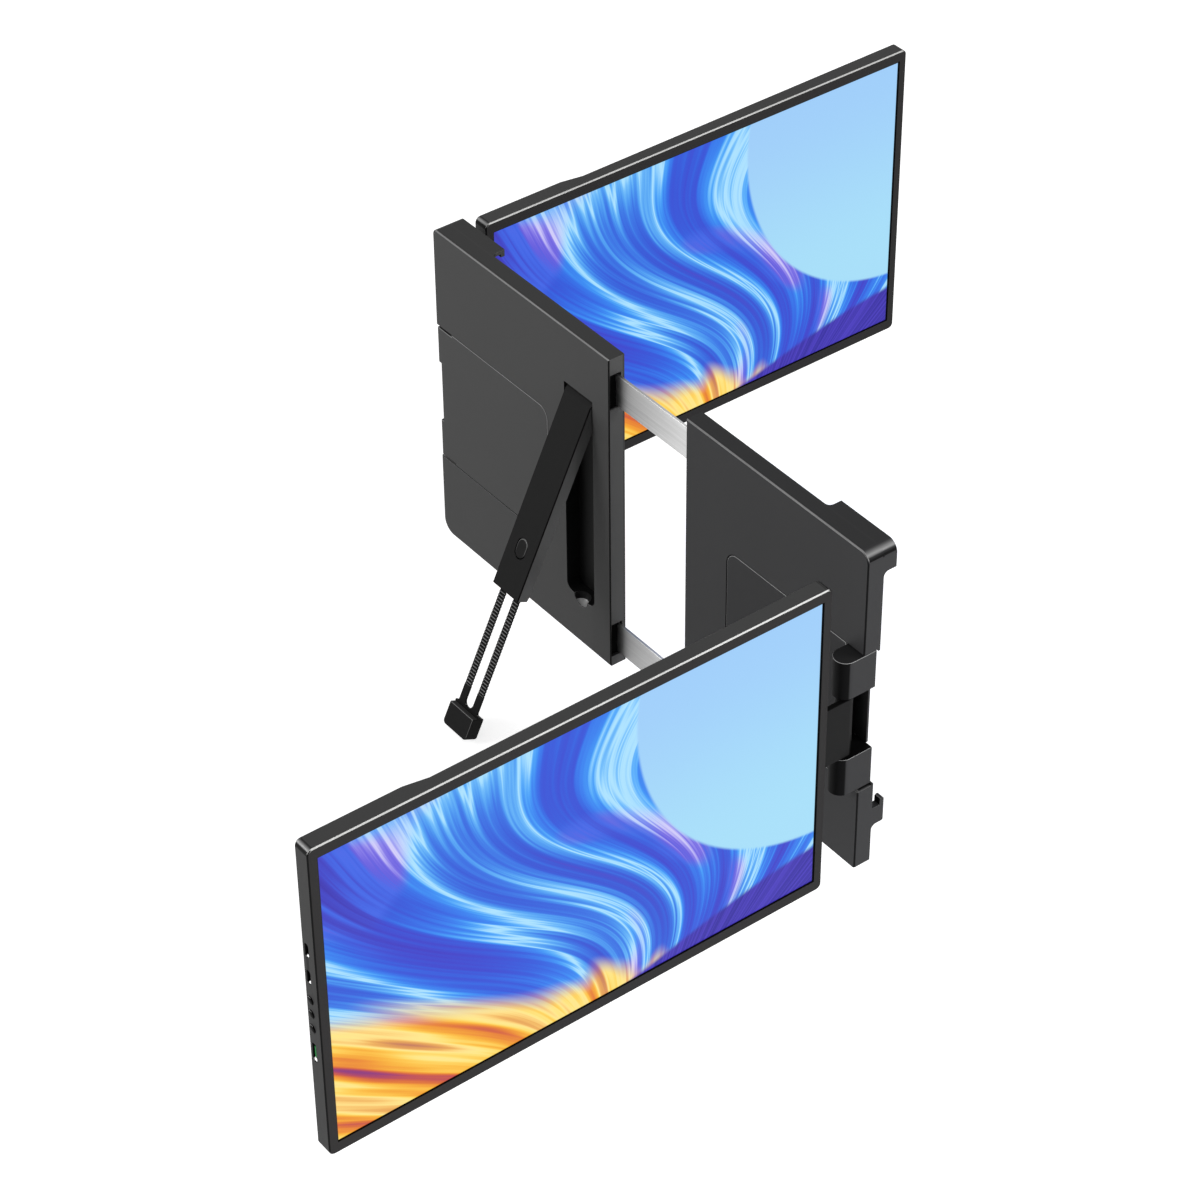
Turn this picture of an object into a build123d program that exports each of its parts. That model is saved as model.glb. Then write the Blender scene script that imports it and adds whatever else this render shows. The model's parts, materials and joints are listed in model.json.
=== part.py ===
from build123d import *
import math
import os

os.makedirs("parts", exist_ok=True)

# Millimetres, +Z up, +Y towards the laptop lid and the user.
# Origin: middle of the clamp's span, on the front face, at its bottom edge.
# "left" and "right" are the two halves as seen from behind.

# ---- lit area of the screens, which sets the height of everything else ----
WINDOW_LENGTH = 301.6
WINDOW_HEIGHT = 188.5
FRAME_ENDS = 10.4
FRAME_SIDES = 13.8
BODY_MARGIN = 9.6
WING_LENGTH = WINDOW_LENGTH + FRAME_ENDS
WING_HEIGHT = WINDOW_HEIGHT + FRAME_SIDES
BODY_HEIGHT = WING_HEIGHT + BODY_MARGIN

# ---- clamp halves ----
SPAN = 374.6
LEFT_LENGTH = 161.9
RIGHT_LENGTH = 146.4
LEFT_INNER_X = LEFT_LENGTH - SPAN / 2
RIGHT_INNER_X = SPAN / 2 - RIGHT_LENGTH
BODY_DEPTH = 10.6
PLATE_THICK = 1.2
WALL = 2.0
FLOOR = 1.4
BACK_EDGE_BREAK = 0.6
LEFT_CORNERS = (3.4, 9.0)
RIGHT_CORNERS = (6.5, 2.0)

# ---- hinge leaves ----
LEAF_HEIGHT = 92.0
LEAF_DROP = 50.95
LEAF_BOTTOM = BODY_HEIGHT / 2 - LEAF_DROP
LEAF_TOP = LEAF_BOTTOM + LEAF_HEIGHT
LEAF_THICK = 1.5
LEAF_PAD = 2.4
LEAF_GROOVE = 0.5
LEAF_CORNER = 8.0
LEFT_LEAF_CLEAR = 56.4
RIGHT_LEAF_CLEAR = 35.8
LEFT_LEAF_REACH = LEFT_LENGTH - LEFT_LEAF_CLEAR
RIGHT_LEAF_REACH = RIGHT_LENGTH - RIGHT_LEAF_CLEAR
LOWER_ARM = 24.6
UPPER_ARM = 24.2
LOWER_ARM_EDGE = 1.0
UPPER_ARM_EDGE = 1.2
ARM_ZONES = (
    (LEAF_BOTTOM + LOWER_ARM_EDGE, LEAF_BOTTOM + LOWER_ARM_EDGE + LOWER_ARM),
    (LEAF_TOP - UPPER_ARM_EDGE - UPPER_ARM, LEAF_TOP - UPPER_ARM_EDGE),
)
ARM_OUTER = 1.15
ARM_RADIUS = 6.75
ARM_INNER = ARM_OUTER + 2 * ARM_RADIUS
AXIS_INSET = ARM_OUTER + ARM_RADIUS
NOTCH_CLEAR = 0.4
LEFT_AXIS_Y = 10.5
RIGHT_AXIS_Y = -16.3
LEFT_WEB_OUTER = 3.4
RIGHT_FRONT_SETBACK = 5.9
PIN_RADIUS = 2.2
RUN_CLEAR = 0.06
SCREW_RADIUS = 1.0
SCREW_HEAD = 2.0
SCREW_HEAD_TALL = 1.2
SCREW_BITE = 1.0
SCREW_EDGE = 12.0
SCREW_INSET = 30.0

# ---- screen wings ----
WING_BOTTOM = 4.8
WING_MID_Z = WING_BOTTOM + WING_HEIGHT / 2
WING_CORNER = 3.5
WING_THICK = 10.95
WING_STEP_END = 60.0
WING_RAMP_END = 74.0
WING_WAIST = 8.4
WING_TIP_THICK = 10.2
LEFT_FACE_INSET = 10.1
RIGHT_FACE_OUTSET = 3.7
LEFT_FACE_X = LEFT_FACE_INSET - SPAN / 2
LEFT_LOW_Y = 18.8
RIGHT_FACE_X = SPAN / 2 + RIGHT_FACE_OUTSET
RIGHT_HINGE_END_Y = -36.8
RIGHT_LOW_Y = RIGHT_HINGE_END_Y - WING_LENGTH
BEZEL_THICK = 0.8
BEZEL_EDGE = 0.6
WINDOW_LIFT = 0.3
DISPLAY_THICK = 2.6
SHELL_RIM = 1.2
SHELL_SKIN = 1.2
DISPLAY_GAP = 0.3
BAY_CORNER = 1.5
HINGE_BLOCK = 30.0
SHELL_EDGE = 0.8

# ---- hinge tongues ----
TONGUE_RADIUS = 4.9
TONGUE_THICK = 3.2
TONGUE_GAP_LOW = 0.6
TONGUE_GAP_HIGH = 2.0
TONGUE_BOTTOM = ARM_ZONES[0][1] + TONGUE_GAP_LOW
TONGUE_TOP = ARM_ZONES[1][0] - TONGUE_GAP_HIGH
TONGUE_INSERT = 24.0
LEFT_TONGUE_CUT = 0.5
RIGHT_TONGUE_CUT = 1.5
TONGUE_FIT = 0.1

# ---- ports and push buttons ----
LEFT_PORT_DEPTH = 6.35
RIGHT_PORT_DEPTH = 7.0
USB_RISE = 16.1
USB_PITCH = 17.4
USB_HEIGHTS = (WING_MID_Z + USB_RISE, WING_MID_Z + USB_RISE + USB_PITCH)
USB_LENGTH = 8.9
USB_THICK = 3.2
SOCKET_DEEP = 7.3
SOCKET_WALL = 0.3
HDMI_DROP = 34.2
HDMI_HEIGHT = WING_MID_Z - HDMI_DROP
HDMI_LENGTH = 12.0
HDMI_THICK = 3.2
HDMI_BEVEL = 0.9
PORT_CLEAR = 0.15
SOCKET_SETBACK = 0.4
BUTTON_RISES = (-17.95, -8.15, 0.95)
BUTTON_HEIGHTS = [WING_MID_Z + rise for rise in BUTTON_RISES]
BUTTON_RADIUS = 2.35
BUTTON_SIDES = 24
BUTTON_CHAMFER = 0.35
SLOT_FLAT_COUNT = 8
BUTTON_GAP = 0.3
BUTTON_PROUD = 0.7
BUTTON_FLANGE = 3.1
BUTTON_TRAVEL = 0.5
BUTTON_TAIL = 1.2
BOARD_THICK = 1.2
BOARD_SETBACK = 2.1
BOARD_HEIGHT = 90.0
BOARD_DROP = 45.95
BOARD_BOTTOM = WING_MID_Z - BOARD_DROP
BOARD_TOP = BOARD_BOTTOM + BOARD_HEIGHT
BOARD_WIDE = 36.0
POST_SIDE = 4.0

# ---- rails ----
RAIL_THICK = 1.8
RAIL_HEIGHT = 20.4
RAIL_BACK = -4.4
RAIL_IN_LEFT = 75.0
RAIL_IN_RIGHT = 99.8
RAIL_EDGE_LOW = 7.0
RAIL_EDGE_HIGH = 12.7
RAIL_START = LEFT_INNER_X - RAIL_IN_LEFT
RAIL_END = RIGHT_INNER_X + RAIL_IN_RIGHT
RAIL_BOTTOMS = (RAIL_EDGE_LOW, BODY_HEIGHT - RAIL_EDGE_HIGH - RAIL_HEIGHT)
RAIL_CLEAR = 0.15
GUIDE_LENGTH = 16.6
GUIDE_END = LEFT_INNER_X - WALL
GUIDE_START = GUIDE_END - GUIDE_LENGTH
GUIDE_WALLS = ((1.9, 1.9), (0.95, 3.0))
STOP_LENGTH = 6.0
STOP_PROUD = 1.0
RAIL_BLOCK_LENGTH = 38.0
RAIL_END_PROUD = 2.7
RAIL_BLOCK_END = RAIL_END - RAIL_END_PROUD
RAIL_BLOCK_START = RAIL_BLOCK_END - RAIL_BLOCK_LENGTH
RAIL_SCREW_RADIUS = 1.25
RAIL_SCREW_HEAD = 2.4
RAIL_SCREW_EDGE = 8.0
RAIL_SCREWS_X = (RAIL_BLOCK_START + RAIL_SCREW_EDGE, RAIL_BLOCK_END - RAIL_SCREW_EDGE)
SLOT_BACK = -9.9
SLOT_FRONT = -2.2

# ---- hooks ----
LEFT_HOOK_DEPTH = 8.8
RIGHT_HOOK_DEPTH = 8.2
HOOK_END_TALL = 15.2
HOOK_BOTTOM = BODY_HEIGHT - HOOK_END_TALL
HOOK_PLATE = 2.5
LIP_TALL = 4.5
LIP_BOTTOM = BODY_HEIGHT - LIP_TALL
LIP_THICK = 2.6
HOOK_END_WALL = 5.0
LEFT_HOOK_REACH = 41.8
RIGHT_HOOK_REACH = 43.6
HOOK_FLARE = 3.2
J_BOTTOM = 25.6
J_TOP = 37.6
J_PRONG_TOP = 42.0
J_PRONG_BACK = 5.2
J_TIP_RADIUS = 1.3
J_WIDE = 4.4
J_DEPTH = 8.0

# ---- kickstand ----
STAND_INSET = 27.6
STAND_X = LEFT_INNER_X - STAND_INSET
STAND_ANGLE = 25.4
PIVOT_Y = -5.6
PIVOT_DROP = 40.4
PIVOT_Z = BODY_HEIGHT - PIVOT_DROP
PIVOT_DEPTH = 5.0
LEG_WIDE = 23.4
LEG_THICK = 8.0
LEG_RISE = 48.5
LEG_LENGTH = PIVOT_Z - LEG_RISE
LEG_KNUCKLE = 4.2
LEG_SIDE = 2.0
CHANNEL_MOUTH = 2.5
HOLLOW_START = 8.0
CHANNEL_START = 12.0
PIVOT_RADIUS = 1.5
PIVOT_INSERT = 2.6
RECESS_SIDE_GAP = 1.0
RECESS_BOTTOM = 32.4
RECESS_HEAD = 4.5
RECESS_TOP = PIVOT_Z + RECESS_HEAD
RECESS_CORNER = 5.0
RECESS_FRAME = 2.6
SCOOP_RADIUS = 6.0
FORK_WIDE = 17.0
FORK_SLOT = 7.2
FORK_BACK = 4.3
FORK_THICK = 1.4
FORK_CLEAR = 0.2
FORK_IN_LEG = 35.0
FORK_START = LEG_LENGTH - FORK_IN_LEG
TOOTH_PITCH = 2.0
TOOTH_DEEP = 0.4
TOOTH_COUNT = 49
FORK_OUT = 76.5
FORK_WEB = 1.75
FOOT_TALL = 14.1
FOOT_START = LEG_LENGTH + FORK_OUT
FOOT_END = FOOT_START + FOOT_TALL
FORK_SLOT_END = FOOT_START - FORK_WEB
FOOT_WIDE = 21.8
FOOT_BACK = 0.7
FOOT_FRONT = 9.0
FOOT_INSERT = 7.0
RELEASE_RISE = 27.4
RELEASE_CENTRE = LEG_LENGTH - RELEASE_RISE
RELEASE_WIDE = 8.4
RELEASE_TALL = 12.0
RELEASE_DEEP = 3.2
RELEASE_GAP = 0.35
RELEASE_FLAT_COUNT = 12
STEM_WIDE = 5.6
STEM_TALL = 9.0
PAWL_THICK = 0.7
PAWL_WIDE = 15.0
PAWL_TALL = 9.6

# ---- grip pads ----
PAD_THICK = 0.8
PAD_WIDE = 60.0
PAD_TALL = 12.0
PAD_CORNER = 2.0
PAD_LOW = 50.0
PAD_DROP = 51.9
PAD_HEIGHTS = (PAD_LOW, BODY_HEIGHT - PAD_DROP)
PAD_INSET = 80.0

LEFT = -1
RIGHT = 1
BACK = -BODY_DEPTH
CAVITY_BACK = BACK + FLOOR


def inset(side, distance):
    """X of a point measured inboard from one outer end of the clamp."""
    return side * (SPAN / 2 - distance)


def length_of(side):
    return LEFT_LENGTH if side == LEFT else RIGHT_LENGTH


def reach_of(side):
    return LEFT_LEAF_REACH if side == LEFT else RIGHT_LEAF_REACH


def axis_y(side):
    return LEFT_AXIS_Y if side == LEFT else RIGHT_AXIS_Y


def panel(x0, x1, z0, z1, corners=()):
    """Rectangle between two opposite corners, with a radius at chosen corners."""
    with BuildSketch(mode=Mode.PRIVATE) as shape:
        with Locations(((x0 + x1) / 2, (z0 + z1) / 2)):
            Rectangle(abs(x1 - x0), abs(z1 - z0))
        for x, z, radius in corners:
            fillet(shape.vertices().sort_by_distance((x, z))[0], radius)
    return shape.sketch


def flat_slot(length, thick, flats=SLOT_FLAT_COUNT):
    """Slot outline with its round ends drawn as short flats."""
    reach = (length - thick) / 2
    points = []
    for end in (1, -1):
        for flat in range(flats + 1):
            angle = math.pi * (flat / flats - 0.5)
            x = end * (reach + thick / 2 * math.cos(angle))
            y = end * thick / 2 * math.sin(angle)
            points.append((x, y))
    with BuildSketch(mode=Mode.PRIVATE) as shape:
        with BuildLine():
            Polyline(*points, close=True)
        make_face()
    return shape.sketch


def half_outline(side, margin=0.0):
    """Front view of one half, drawn in by a margin all round."""
    top, bottom = LEFT_CORNERS if side == LEFT else RIGHT_CORNERS
    outer = inset(side, margin)
    inner = inset(side, length_of(side) - margin)
    low = margin
    high = BODY_HEIGHT - margin
    corners = (
        (outer, high, max(top - margin, 0.6)),
        (outer, low, max(bottom - margin, 0.6)),
    )
    return panel(outer, inner, low, high, corners)


def leaf_outline(side, outer, grow=0.0):
    inner = inset(side, reach_of(side) + grow)
    radius = LEAF_CORNER + grow
    low = LEAF_BOTTOM - grow
    high = LEAF_TOP + grow
    return panel(inset(side, outer), inner, low, high, ((inner, low, radius), (inner, high, radius)))


def front_plane(y):
    """XZ plane at a depth y, whose extrusions run towards -Y."""
    return Plane.XZ.offset(-y)


def block(x0, x1, y0, y1, z0, z1, mode=Mode.ADD):
    with Locations(((x0 + x1) / 2, (y0 + y1) / 2, (z0 + z1) / 2)):
        Box(abs(x1 - x0), abs(y1 - y0), abs(z1 - z0), mode=mode)


def screw_holes(plane, spots, radius, deep, mode=Mode.SUBTRACT):
    """Twelve-sided shanks or holes at spots on a plane, which keep hidden screws light."""
    with BuildSketch(plane, mode=Mode.PRIVATE) as ends:
        with Locations(*spots):
            RegularPolygon(radius, 12)
    extrude(ends.sketch, amount=deep, mode=mode)


def screw_heads(plane, spots, radius, tall):
    with BuildSketch(plane, mode=Mode.PRIVATE) as heads:
        with Locations(*spots):
            RegularPolygon(radius, 6)
    extrude(heads.sketch, amount=-tall)


def finish(shape, name):
    shape.part.label = name
    export_step(shape.part, f"parts/{name}.step")


# ---- clamp covers ----
RECESS_HALF = LEG_WIDE / 2 + RECESS_SIDE_GAP
RECESS_LOW_X = STAND_X - RECESS_HALF
RECESS_HIGH_X = STAND_X + RECESS_HALF


def recess_outline(grow=0.0, bottom_radius=RECESS_CORNER):
    x0 = RECESS_LOW_X - grow
    x1 = RECESS_HIGH_X + grow
    z0 = RECESS_BOTTOM - grow
    corners = ((x0, z0, bottom_radius), (x1, z0, bottom_radius))
    return panel(x0, x1, z0, RECESS_TOP + min(grow, 1.5), corners)


def leaf_screw_spots(side):
    return [
        (inset(side, distance), height)
        for distance, height in (
            (SCREW_INSET, LEAF_BOTTOM + SCREW_EDGE),
            (SCREW_INSET, LEAF_TOP - SCREW_EDGE),
            (reach_of(side) - SCREW_EDGE, (LEAF_BOTTOM + LEAF_TOP) / 2),
        )
    ]


def rail_screw_spots(bottom):
    return [(x, bottom + RAIL_HEIGHT / 2) for x in RAIL_SCREWS_X]


def make_cover(side):
    with BuildPart() as cover:
        with BuildSketch(front_plane(-PLATE_THICK)):
            add(half_outline(side))
        extrude(amount=BODY_DEPTH - PLATE_THICK)
        chamfer(cover.faces().sort_by(Axis.Y)[0].edges(), BACK_EDGE_BREAK)
        with BuildSketch(front_plane(-PLATE_THICK)):
            add(half_outline(side, WALL))
        extrude(amount=-CAVITY_BACK - PLATE_THICK, mode=Mode.SUBTRACT)
        # thicker pad under the hinge leaf
        with BuildSketch(front_plane(BACK + LEAF_PAD)):
            add(leaf_outline(side, 0.5, 3.0))
        extrude(amount=LEAF_PAD - FLOOR / 2)
        with BuildSketch(front_plane(BACK + LEAF_THICK)):
            add(leaf_outline(side, 0.0, LEAF_GROOVE))
        extrude(amount=LEAF_THICK, mode=Mode.SUBTRACT)
        screw_holes(front_plane(0), leaf_screw_spots(side), SCREW_RADIUS + 0.05, BODY_DEPTH)
        # notch for the hinge arms through the end wall
        block(
            inset(side, -1.0), inset(side, ARM_INNER + NOTCH_CLEAR),
            BACK - 1, 1,
            LEAF_BOTTOM - LEAF_GROOVE, LEAF_TOP + LEAF_GROOVE,
            mode=Mode.SUBTRACT,
        )
        # rail slots through the inner end wall
        inner = inset(side, length_of(side))
        for bottom in RAIL_BOTTOMS:
            low, high = (bottom - 0.4, bottom + RAIL_HEIGHT + 2.2)
            back, front = (SLOT_BACK, SLOT_FRONT)
            if side == RIGHT:
                low, high = (bottom - 0.1, bottom + RAIL_HEIGHT + 0.1)
                back, front = (RAIL_BACK - 0.1, RAIL_BACK + RAIL_THICK + 0.1)
            block(inner - WALL * 1.5, inner + WALL * 1.5, back, front, low, high, mode=Mode.SUBTRACT)
            if side == RIGHT:
                block(
                    RAIL_BLOCK_START, RAIL_BLOCK_END, CAVITY_BACK - 0.5, RAIL_BACK,
                    bottom, bottom + RAIL_HEIGHT,
                )
        if side == RIGHT:
            for bottom in RAIL_BOTTOMS:
                screw_holes(front_plane(-4.0), rail_screw_spots(bottom), RAIL_SCREW_RADIUS, 4.4)
        if side == LEFT:
            # kickstand recess with its own side walls
            with BuildSketch(front_plane(-PLATE_THICK)):
                add(recess_outline(RECESS_FRAME, RECESS_CORNER + RECESS_FRAME))
            extrude(amount=BODY_DEPTH - PLATE_THICK - 0.5)
            block(
                STAND_X - SCOOP_RADIUS - 1, STAND_X + SCOOP_RADIUS + 1,
                CAVITY_BACK - 0.5, -5.6, RECESS_BOTTOM - SCOOP_RADIUS - 1.5, RECESS_BOTTOM - 2,
            )
            block(
                STAND_X - SCOOP_RADIUS - 1, STAND_X + SCOOP_RADIUS + 1,
                CAVITY_BACK - 0.5, RAIL_BACK + 0.5, RAIL_BOTTOMS[0] + RAIL_HEIGHT + 0.5, RECESS_BOTTOM - 2,
            )
            with BuildSketch(front_plane(0)):
                add(recess_outline())
            extrude(amount=BODY_DEPTH + 1, mode=Mode.SUBTRACT)
            with Locations((STAND_X, BACK, RECESS_BOTTOM)):
                Sphere(SCOOP_RADIUS, mode=Mode.SUBTRACT)
            with Locations(Plane.YZ.offset(STAND_X)):
                with Locations((PIVOT_Y, PIVOT_Z)):
                    Cylinder(PIVOT_RADIUS, 2 * (RECESS_HALF + PIVOT_INSERT), mode=Mode.SUBTRACT)
    return cover


left_cover = make_cover(LEFT)
finish(left_cover, "left_back_cover")
right_cover = make_cover(RIGHT)
finish(right_cover, "right_back_cover")


# ---- front plates ----
def make_front_plate(side):
    with BuildPart() as plate:
        with BuildSketch(front_plane(0)):
            add(half_outline(side))
        extrude(amount=PLATE_THICK)
        for (low, high), (below, above) in zip(ARM_ZONES, ((NOTCH_CLEAR, 0), (0, NOTCH_CLEAR))):
            block(
                inset(side, -1.0), inset(side, ARM_INNER + NOTCH_CLEAR),
                -3, 1, low - below, high + above, mode=Mode.SUBTRACT,
            )
        if side == RIGHT:
            block(
                inset(side, -1.0), inset(side, RIGHT_FRONT_SETBACK),
                -3, 1, ARM_ZONES[0][1], ARM_ZONES[1][0], mode=Mode.SUBTRACT,
            )
    return plate


left_plate = make_front_plate(LEFT)
finish(left_plate, "left_front_plate")
right_plate = make_front_plate(RIGHT)
finish(right_plate, "right_front_plate")


# ---- hinge leaves, pins and screws ----
def make_leaf(side):
    x_axis = inset(side, AXIS_INSET)
    centre_y = axis_y(side)
    end_y = BACK if side == LEFT else -PLATE_THICK
    with BuildPart() as leaf:
        with BuildSketch(front_plane(BACK + LEAF_THICK)):
            add(leaf_outline(side, ARM_INNER))
        extrude(amount=LEAF_THICK)
        for low, high in ARM_ZONES:
            with BuildSketch(Plane.XY.offset(low)):
                with Locations((x_axis, centre_y)):
                    Circle(ARM_RADIUS)
                with Locations((x_axis, (centre_y + end_y) / 2)):
                    Rectangle(2 * ARM_RADIUS, abs(centre_y - end_y))
            extrude(amount=high - low)
        if side == LEFT:
            block(
                inset(side, LEFT_WEB_OUTER), inset(side, ARM_INNER),
                BACK, BACK + 5.0, ARM_ZONES[0][1], ARM_ZONES[1][0],
            )
        mid = (ARM_ZONES[0][0] + ARM_ZONES[1][1]) / 2
        span = ARM_ZONES[1][1] - ARM_ZONES[0][0] - 4.0
        with Locations((x_axis, centre_y, mid)):
            Cylinder(PIN_RADIUS, span, mode=Mode.SUBTRACT)
        screw_holes(front_plane(BACK + LEAF_THICK), leaf_screw_spots(side), SCREW_RADIUS, SCREW_BITE)
    return leaf


def make_pin(side):
    mid = (ARM_ZONES[0][0] + ARM_ZONES[1][1]) / 2
    span = ARM_ZONES[1][1] - ARM_ZONES[0][0] - 4.0
    with BuildPart() as pin:
        with Locations((inset(side, AXIS_INSET), axis_y(side), mid)):
            Cylinder(PIN_RADIUS, span)
    return pin


def make_leaf_screws(side):
    plane = front_plane(BACK + LEAF_PAD)
    spots = leaf_screw_spots(side)
    with BuildPart() as screws:
        screw_holes(plane, spots, SCREW_RADIUS, LEAF_PAD - LEAF_THICK + SCREW_BITE, mode=Mode.ADD)
        screw_heads(plane, spots, SCREW_HEAD, SCREW_HEAD_TALL)
    return screws


for side, word in ((LEFT, "left"), (RIGHT, "right")):
    finish(make_leaf(side), f"{word}_hinge_leaf")
    finish(make_pin(side), f"{word}_hinge_pin")
    finish(make_leaf_screws(side), f"{word}_leaf_screws")


# ---- hooks and pads ----
def make_top_hook(side):
    reach = LEFT_HOOK_REACH if side == LEFT else RIGHT_HOOK_REACH
    depth = LEFT_HOOK_DEPTH if side == LEFT else RIGHT_HOOK_DEPTH
    outer = inset(side, 0)
    with BuildPart() as hook:
        block(outer, inset(side, reach), 0, depth, BODY_HEIGHT - HOOK_PLATE, BODY_HEIGHT)
        block(outer, inset(side, reach), depth - LIP_THICK, depth, LIP_BOTTOM, BODY_HEIGHT)
        block(outer, inset(side, HOOK_END_WALL), 0, depth, HOOK_BOTTOM, BODY_HEIGHT)
        # flare at the inner end, in plan
        with BuildSketch(Plane.XY.offset(BODY_HEIGHT - HOOK_PLATE)):
            with Locations((inset(side, reach + HOOK_FLARE / 2), HOOK_FLARE / 2)):
                Rectangle(HOOK_FLARE, HOOK_FLARE)
            with Locations((inset(side, reach + HOOK_FLARE), HOOK_FLARE)):
                Circle(HOOK_FLARE, mode=Mode.SUBTRACT)
        extrude(amount=HOOK_PLATE)
        # flare under the end wall
        with BuildSketch(Plane.YZ.offset(outer)):
            with Locations((HOOK_FLARE / 2, HOOK_BOTTOM - HOOK_FLARE / 2)):
                Rectangle(HOOK_FLARE, HOOK_FLARE)
            with Locations((HOOK_FLARE, HOOK_BOTTOM - HOOK_FLARE)):
                Circle(HOOK_FLARE, mode=Mode.SUBTRACT)
        extrude(amount=-side * HOOK_END_WALL)
        with BuildSketch(front_plane(depth + 1)):
            add(half_outline(side))
        extrude(amount=depth + 2, mode=Mode.INTERSECT)
    return hook


def make_side_hook(side):
    with BuildPart() as hook:
        with BuildSketch(Plane.YZ.offset(inset(side, 0))):
            with Locations((J_DEPTH / 2, (J_BOTTOM + J_TOP) / 2)):
                Rectangle(J_DEPTH, J_TOP - J_BOTTOM)
            with Locations(((J_PRONG_BACK + J_DEPTH) / 2, (J_TOP + J_PRONG_TOP) / 2)):
                Rectangle(J_DEPTH - J_PRONG_BACK, J_PRONG_TOP - J_TOP)
            with Locations((HOOK_FLARE / 2, J_BOTTOM - HOOK_FLARE / 2)):
                Rectangle(HOOK_FLARE, HOOK_FLARE)
            with Locations((HOOK_FLARE, J_BOTTOM - HOOK_FLARE)):
                Circle(HOOK_FLARE, mode=Mode.SUBTRACT)
        extrude(amount=-side * J_WIDE)
        across = hook.edges().filter_by(Axis.X)
        tips = across.filter_by_position(Axis.Z, J_PRONG_TOP - 0.1, J_PRONG_TOP + 0.1)
        fillet(tips, J_TIP_RADIUS)
        fillet(hook.edges().filter_by(Axis.X).filter_by_position(Axis.Y, J_DEPTH - 0.1, J_DEPTH + 0.1)
               .filter_by_position(Axis.Z, J_BOTTOM - 0.1, J_BOTTOM + 0.1), 1.0)
    return hook


def make_pads(side):
    with BuildPart() as pads:
        for height in PAD_HEIGHTS:
            with BuildSketch(front_plane(PAD_THICK)) as pad_face:
                with Locations((inset(side, PAD_INSET), height)):
                    Rectangle(PAD_WIDE, PAD_TALL)
                chamfer(pad_face.vertices(), PAD_CORNER)
            extrude(amount=PAD_THICK)
    return pads


for side, word in ((LEFT, "left"), (RIGHT, "right")):
    finish(make_top_hook(side), f"{word}_top_hook")
    finish(make_side_hook(side), f"{word}_side_hook")
    finish(make_pads(side), f"{word}_grip_pads")


# ---- rails, guides, stops ----
def make_rail(bottom):
    with BuildPart() as rail:
        block(RAIL_START, RAIL_END, RAIL_BACK, RAIL_BACK + RAIL_THICK, bottom, bottom + RAIL_HEIGHT)
        chamfer(rail.edges().filter_by(Axis.X), 0.25)
        plane = front_plane(RAIL_BACK + RAIL_THICK)
        screw_holes(plane, rail_screw_spots(bottom), RAIL_SCREW_RADIUS, RAIL_THICK)
    return rail


def make_guide(bottom, walls):
    below, above = walls
    with BuildPart() as guide:
        block(
            GUIDE_START, GUIDE_END, CAVITY_BACK, -PLATE_THICK,
            bottom - below, bottom + RAIL_HEIGHT + above,
        )
        block(
            GUIDE_START - 1, GUIDE_END + 1,
            RAIL_BACK - RAIL_CLEAR, RAIL_BACK + RAIL_THICK + RAIL_CLEAR,
            bottom - RAIL_CLEAR, bottom + RAIL_HEIGHT + RAIL_CLEAR, mode=Mode.SUBTRACT,
        )
    return guide


for bottom, walls, word in zip(RAIL_BOTTOMS, GUIDE_WALLS, ("lower", "upper")):
    finish(make_rail(bottom), f"{word}_rail")
    finish(make_guide(bottom, walls), f"{word}_rail_guide")

with BuildPart() as stops:
    for bottom in RAIL_BOTTOMS:
        block(
            RAIL_START, RAIL_START + STOP_LENGTH, RAIL_BACK - STOP_PROUD, RAIL_BACK,
            bottom + 3, bottom + RAIL_HEIGHT - 3,
        )
finish(stops, "rail_end_stops")

with BuildPart() as rail_screws:
    for bottom in RAIL_BOTTOMS:
        rail_front = front_plane(RAIL_BACK + RAIL_THICK)
        screw_holes(rail_front, rail_screw_spots(bottom), RAIL_SCREW_RADIUS, 5.4, mode=Mode.ADD)
        screw_heads(rail_front, rail_screw_spots(bottom), RAIL_SCREW_HEAD, SCREW_HEAD_TALL)
finish(rail_screws, "rail_screws")


# ---- screen wings ----
def thickness_at(v):
    if v <= WING_STEP_END:
        return WING_THICK
    if v <= WING_RAMP_END:
        share = (v - WING_STEP_END) / (WING_RAMP_END - WING_STEP_END)
        return WING_THICK + share * (WING_WAIST - WING_THICK)
    share = (v - WING_RAMP_END) / (WING_LENGTH - WING_RAMP_END)
    return WING_WAIST + share * (WING_TIP_THICK - WING_WAIST)


def place_of(side):
    """Face X, low-end Y, distance v of the hinge end and of the free end."""
    if side == LEFT:
        return LEFT_FACE_X, LEFT_LOW_Y, 0.0, WING_LENGTH
    return RIGHT_FACE_X, RIGHT_LOW_Y, WING_LENGTH, 0.0


def profile(face_x, low_y, front, skin, v0, v1):
    """Plan outline of a wing between two distances along it."""
    stations = [v0] + [v for v in (WING_STEP_END, WING_RAMP_END) if v0 < v < v1] + [v1]
    points = [(face_x - front, low_y + v0)]
    points += [(face_x - thickness_at(v) + skin, low_y + v) for v in stations]
    points += [(face_x - front, low_y + v1)]
    with BuildSketch(mode=Mode.PRIVATE) as shape:
        with BuildLine():
            Polyline(*points, close=True)
        make_face()
    return shape.sketch


DISPLAY_BACK = BEZEL_THICK + DISPLAY_THICK


def tongue_numbers(side):
    """Low and high X of the tongue plate, and of the narrower part inside the wing."""
    outer = inset(side, AXIS_INSET - TONGUE_RADIUS)
    inner = outer - side * TONGUE_THICK
    low, high = min(outer, inner), max(outer, inner)
    if side == LEFT:
        return low, high, low, high - LEFT_TONGUE_CUT
    return low, high, low + RIGHT_TONGUE_CUT, high


def port_depth(side):
    return LEFT_PORT_DEPTH if side == LEFT else RIGHT_PORT_DEPTH


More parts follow.
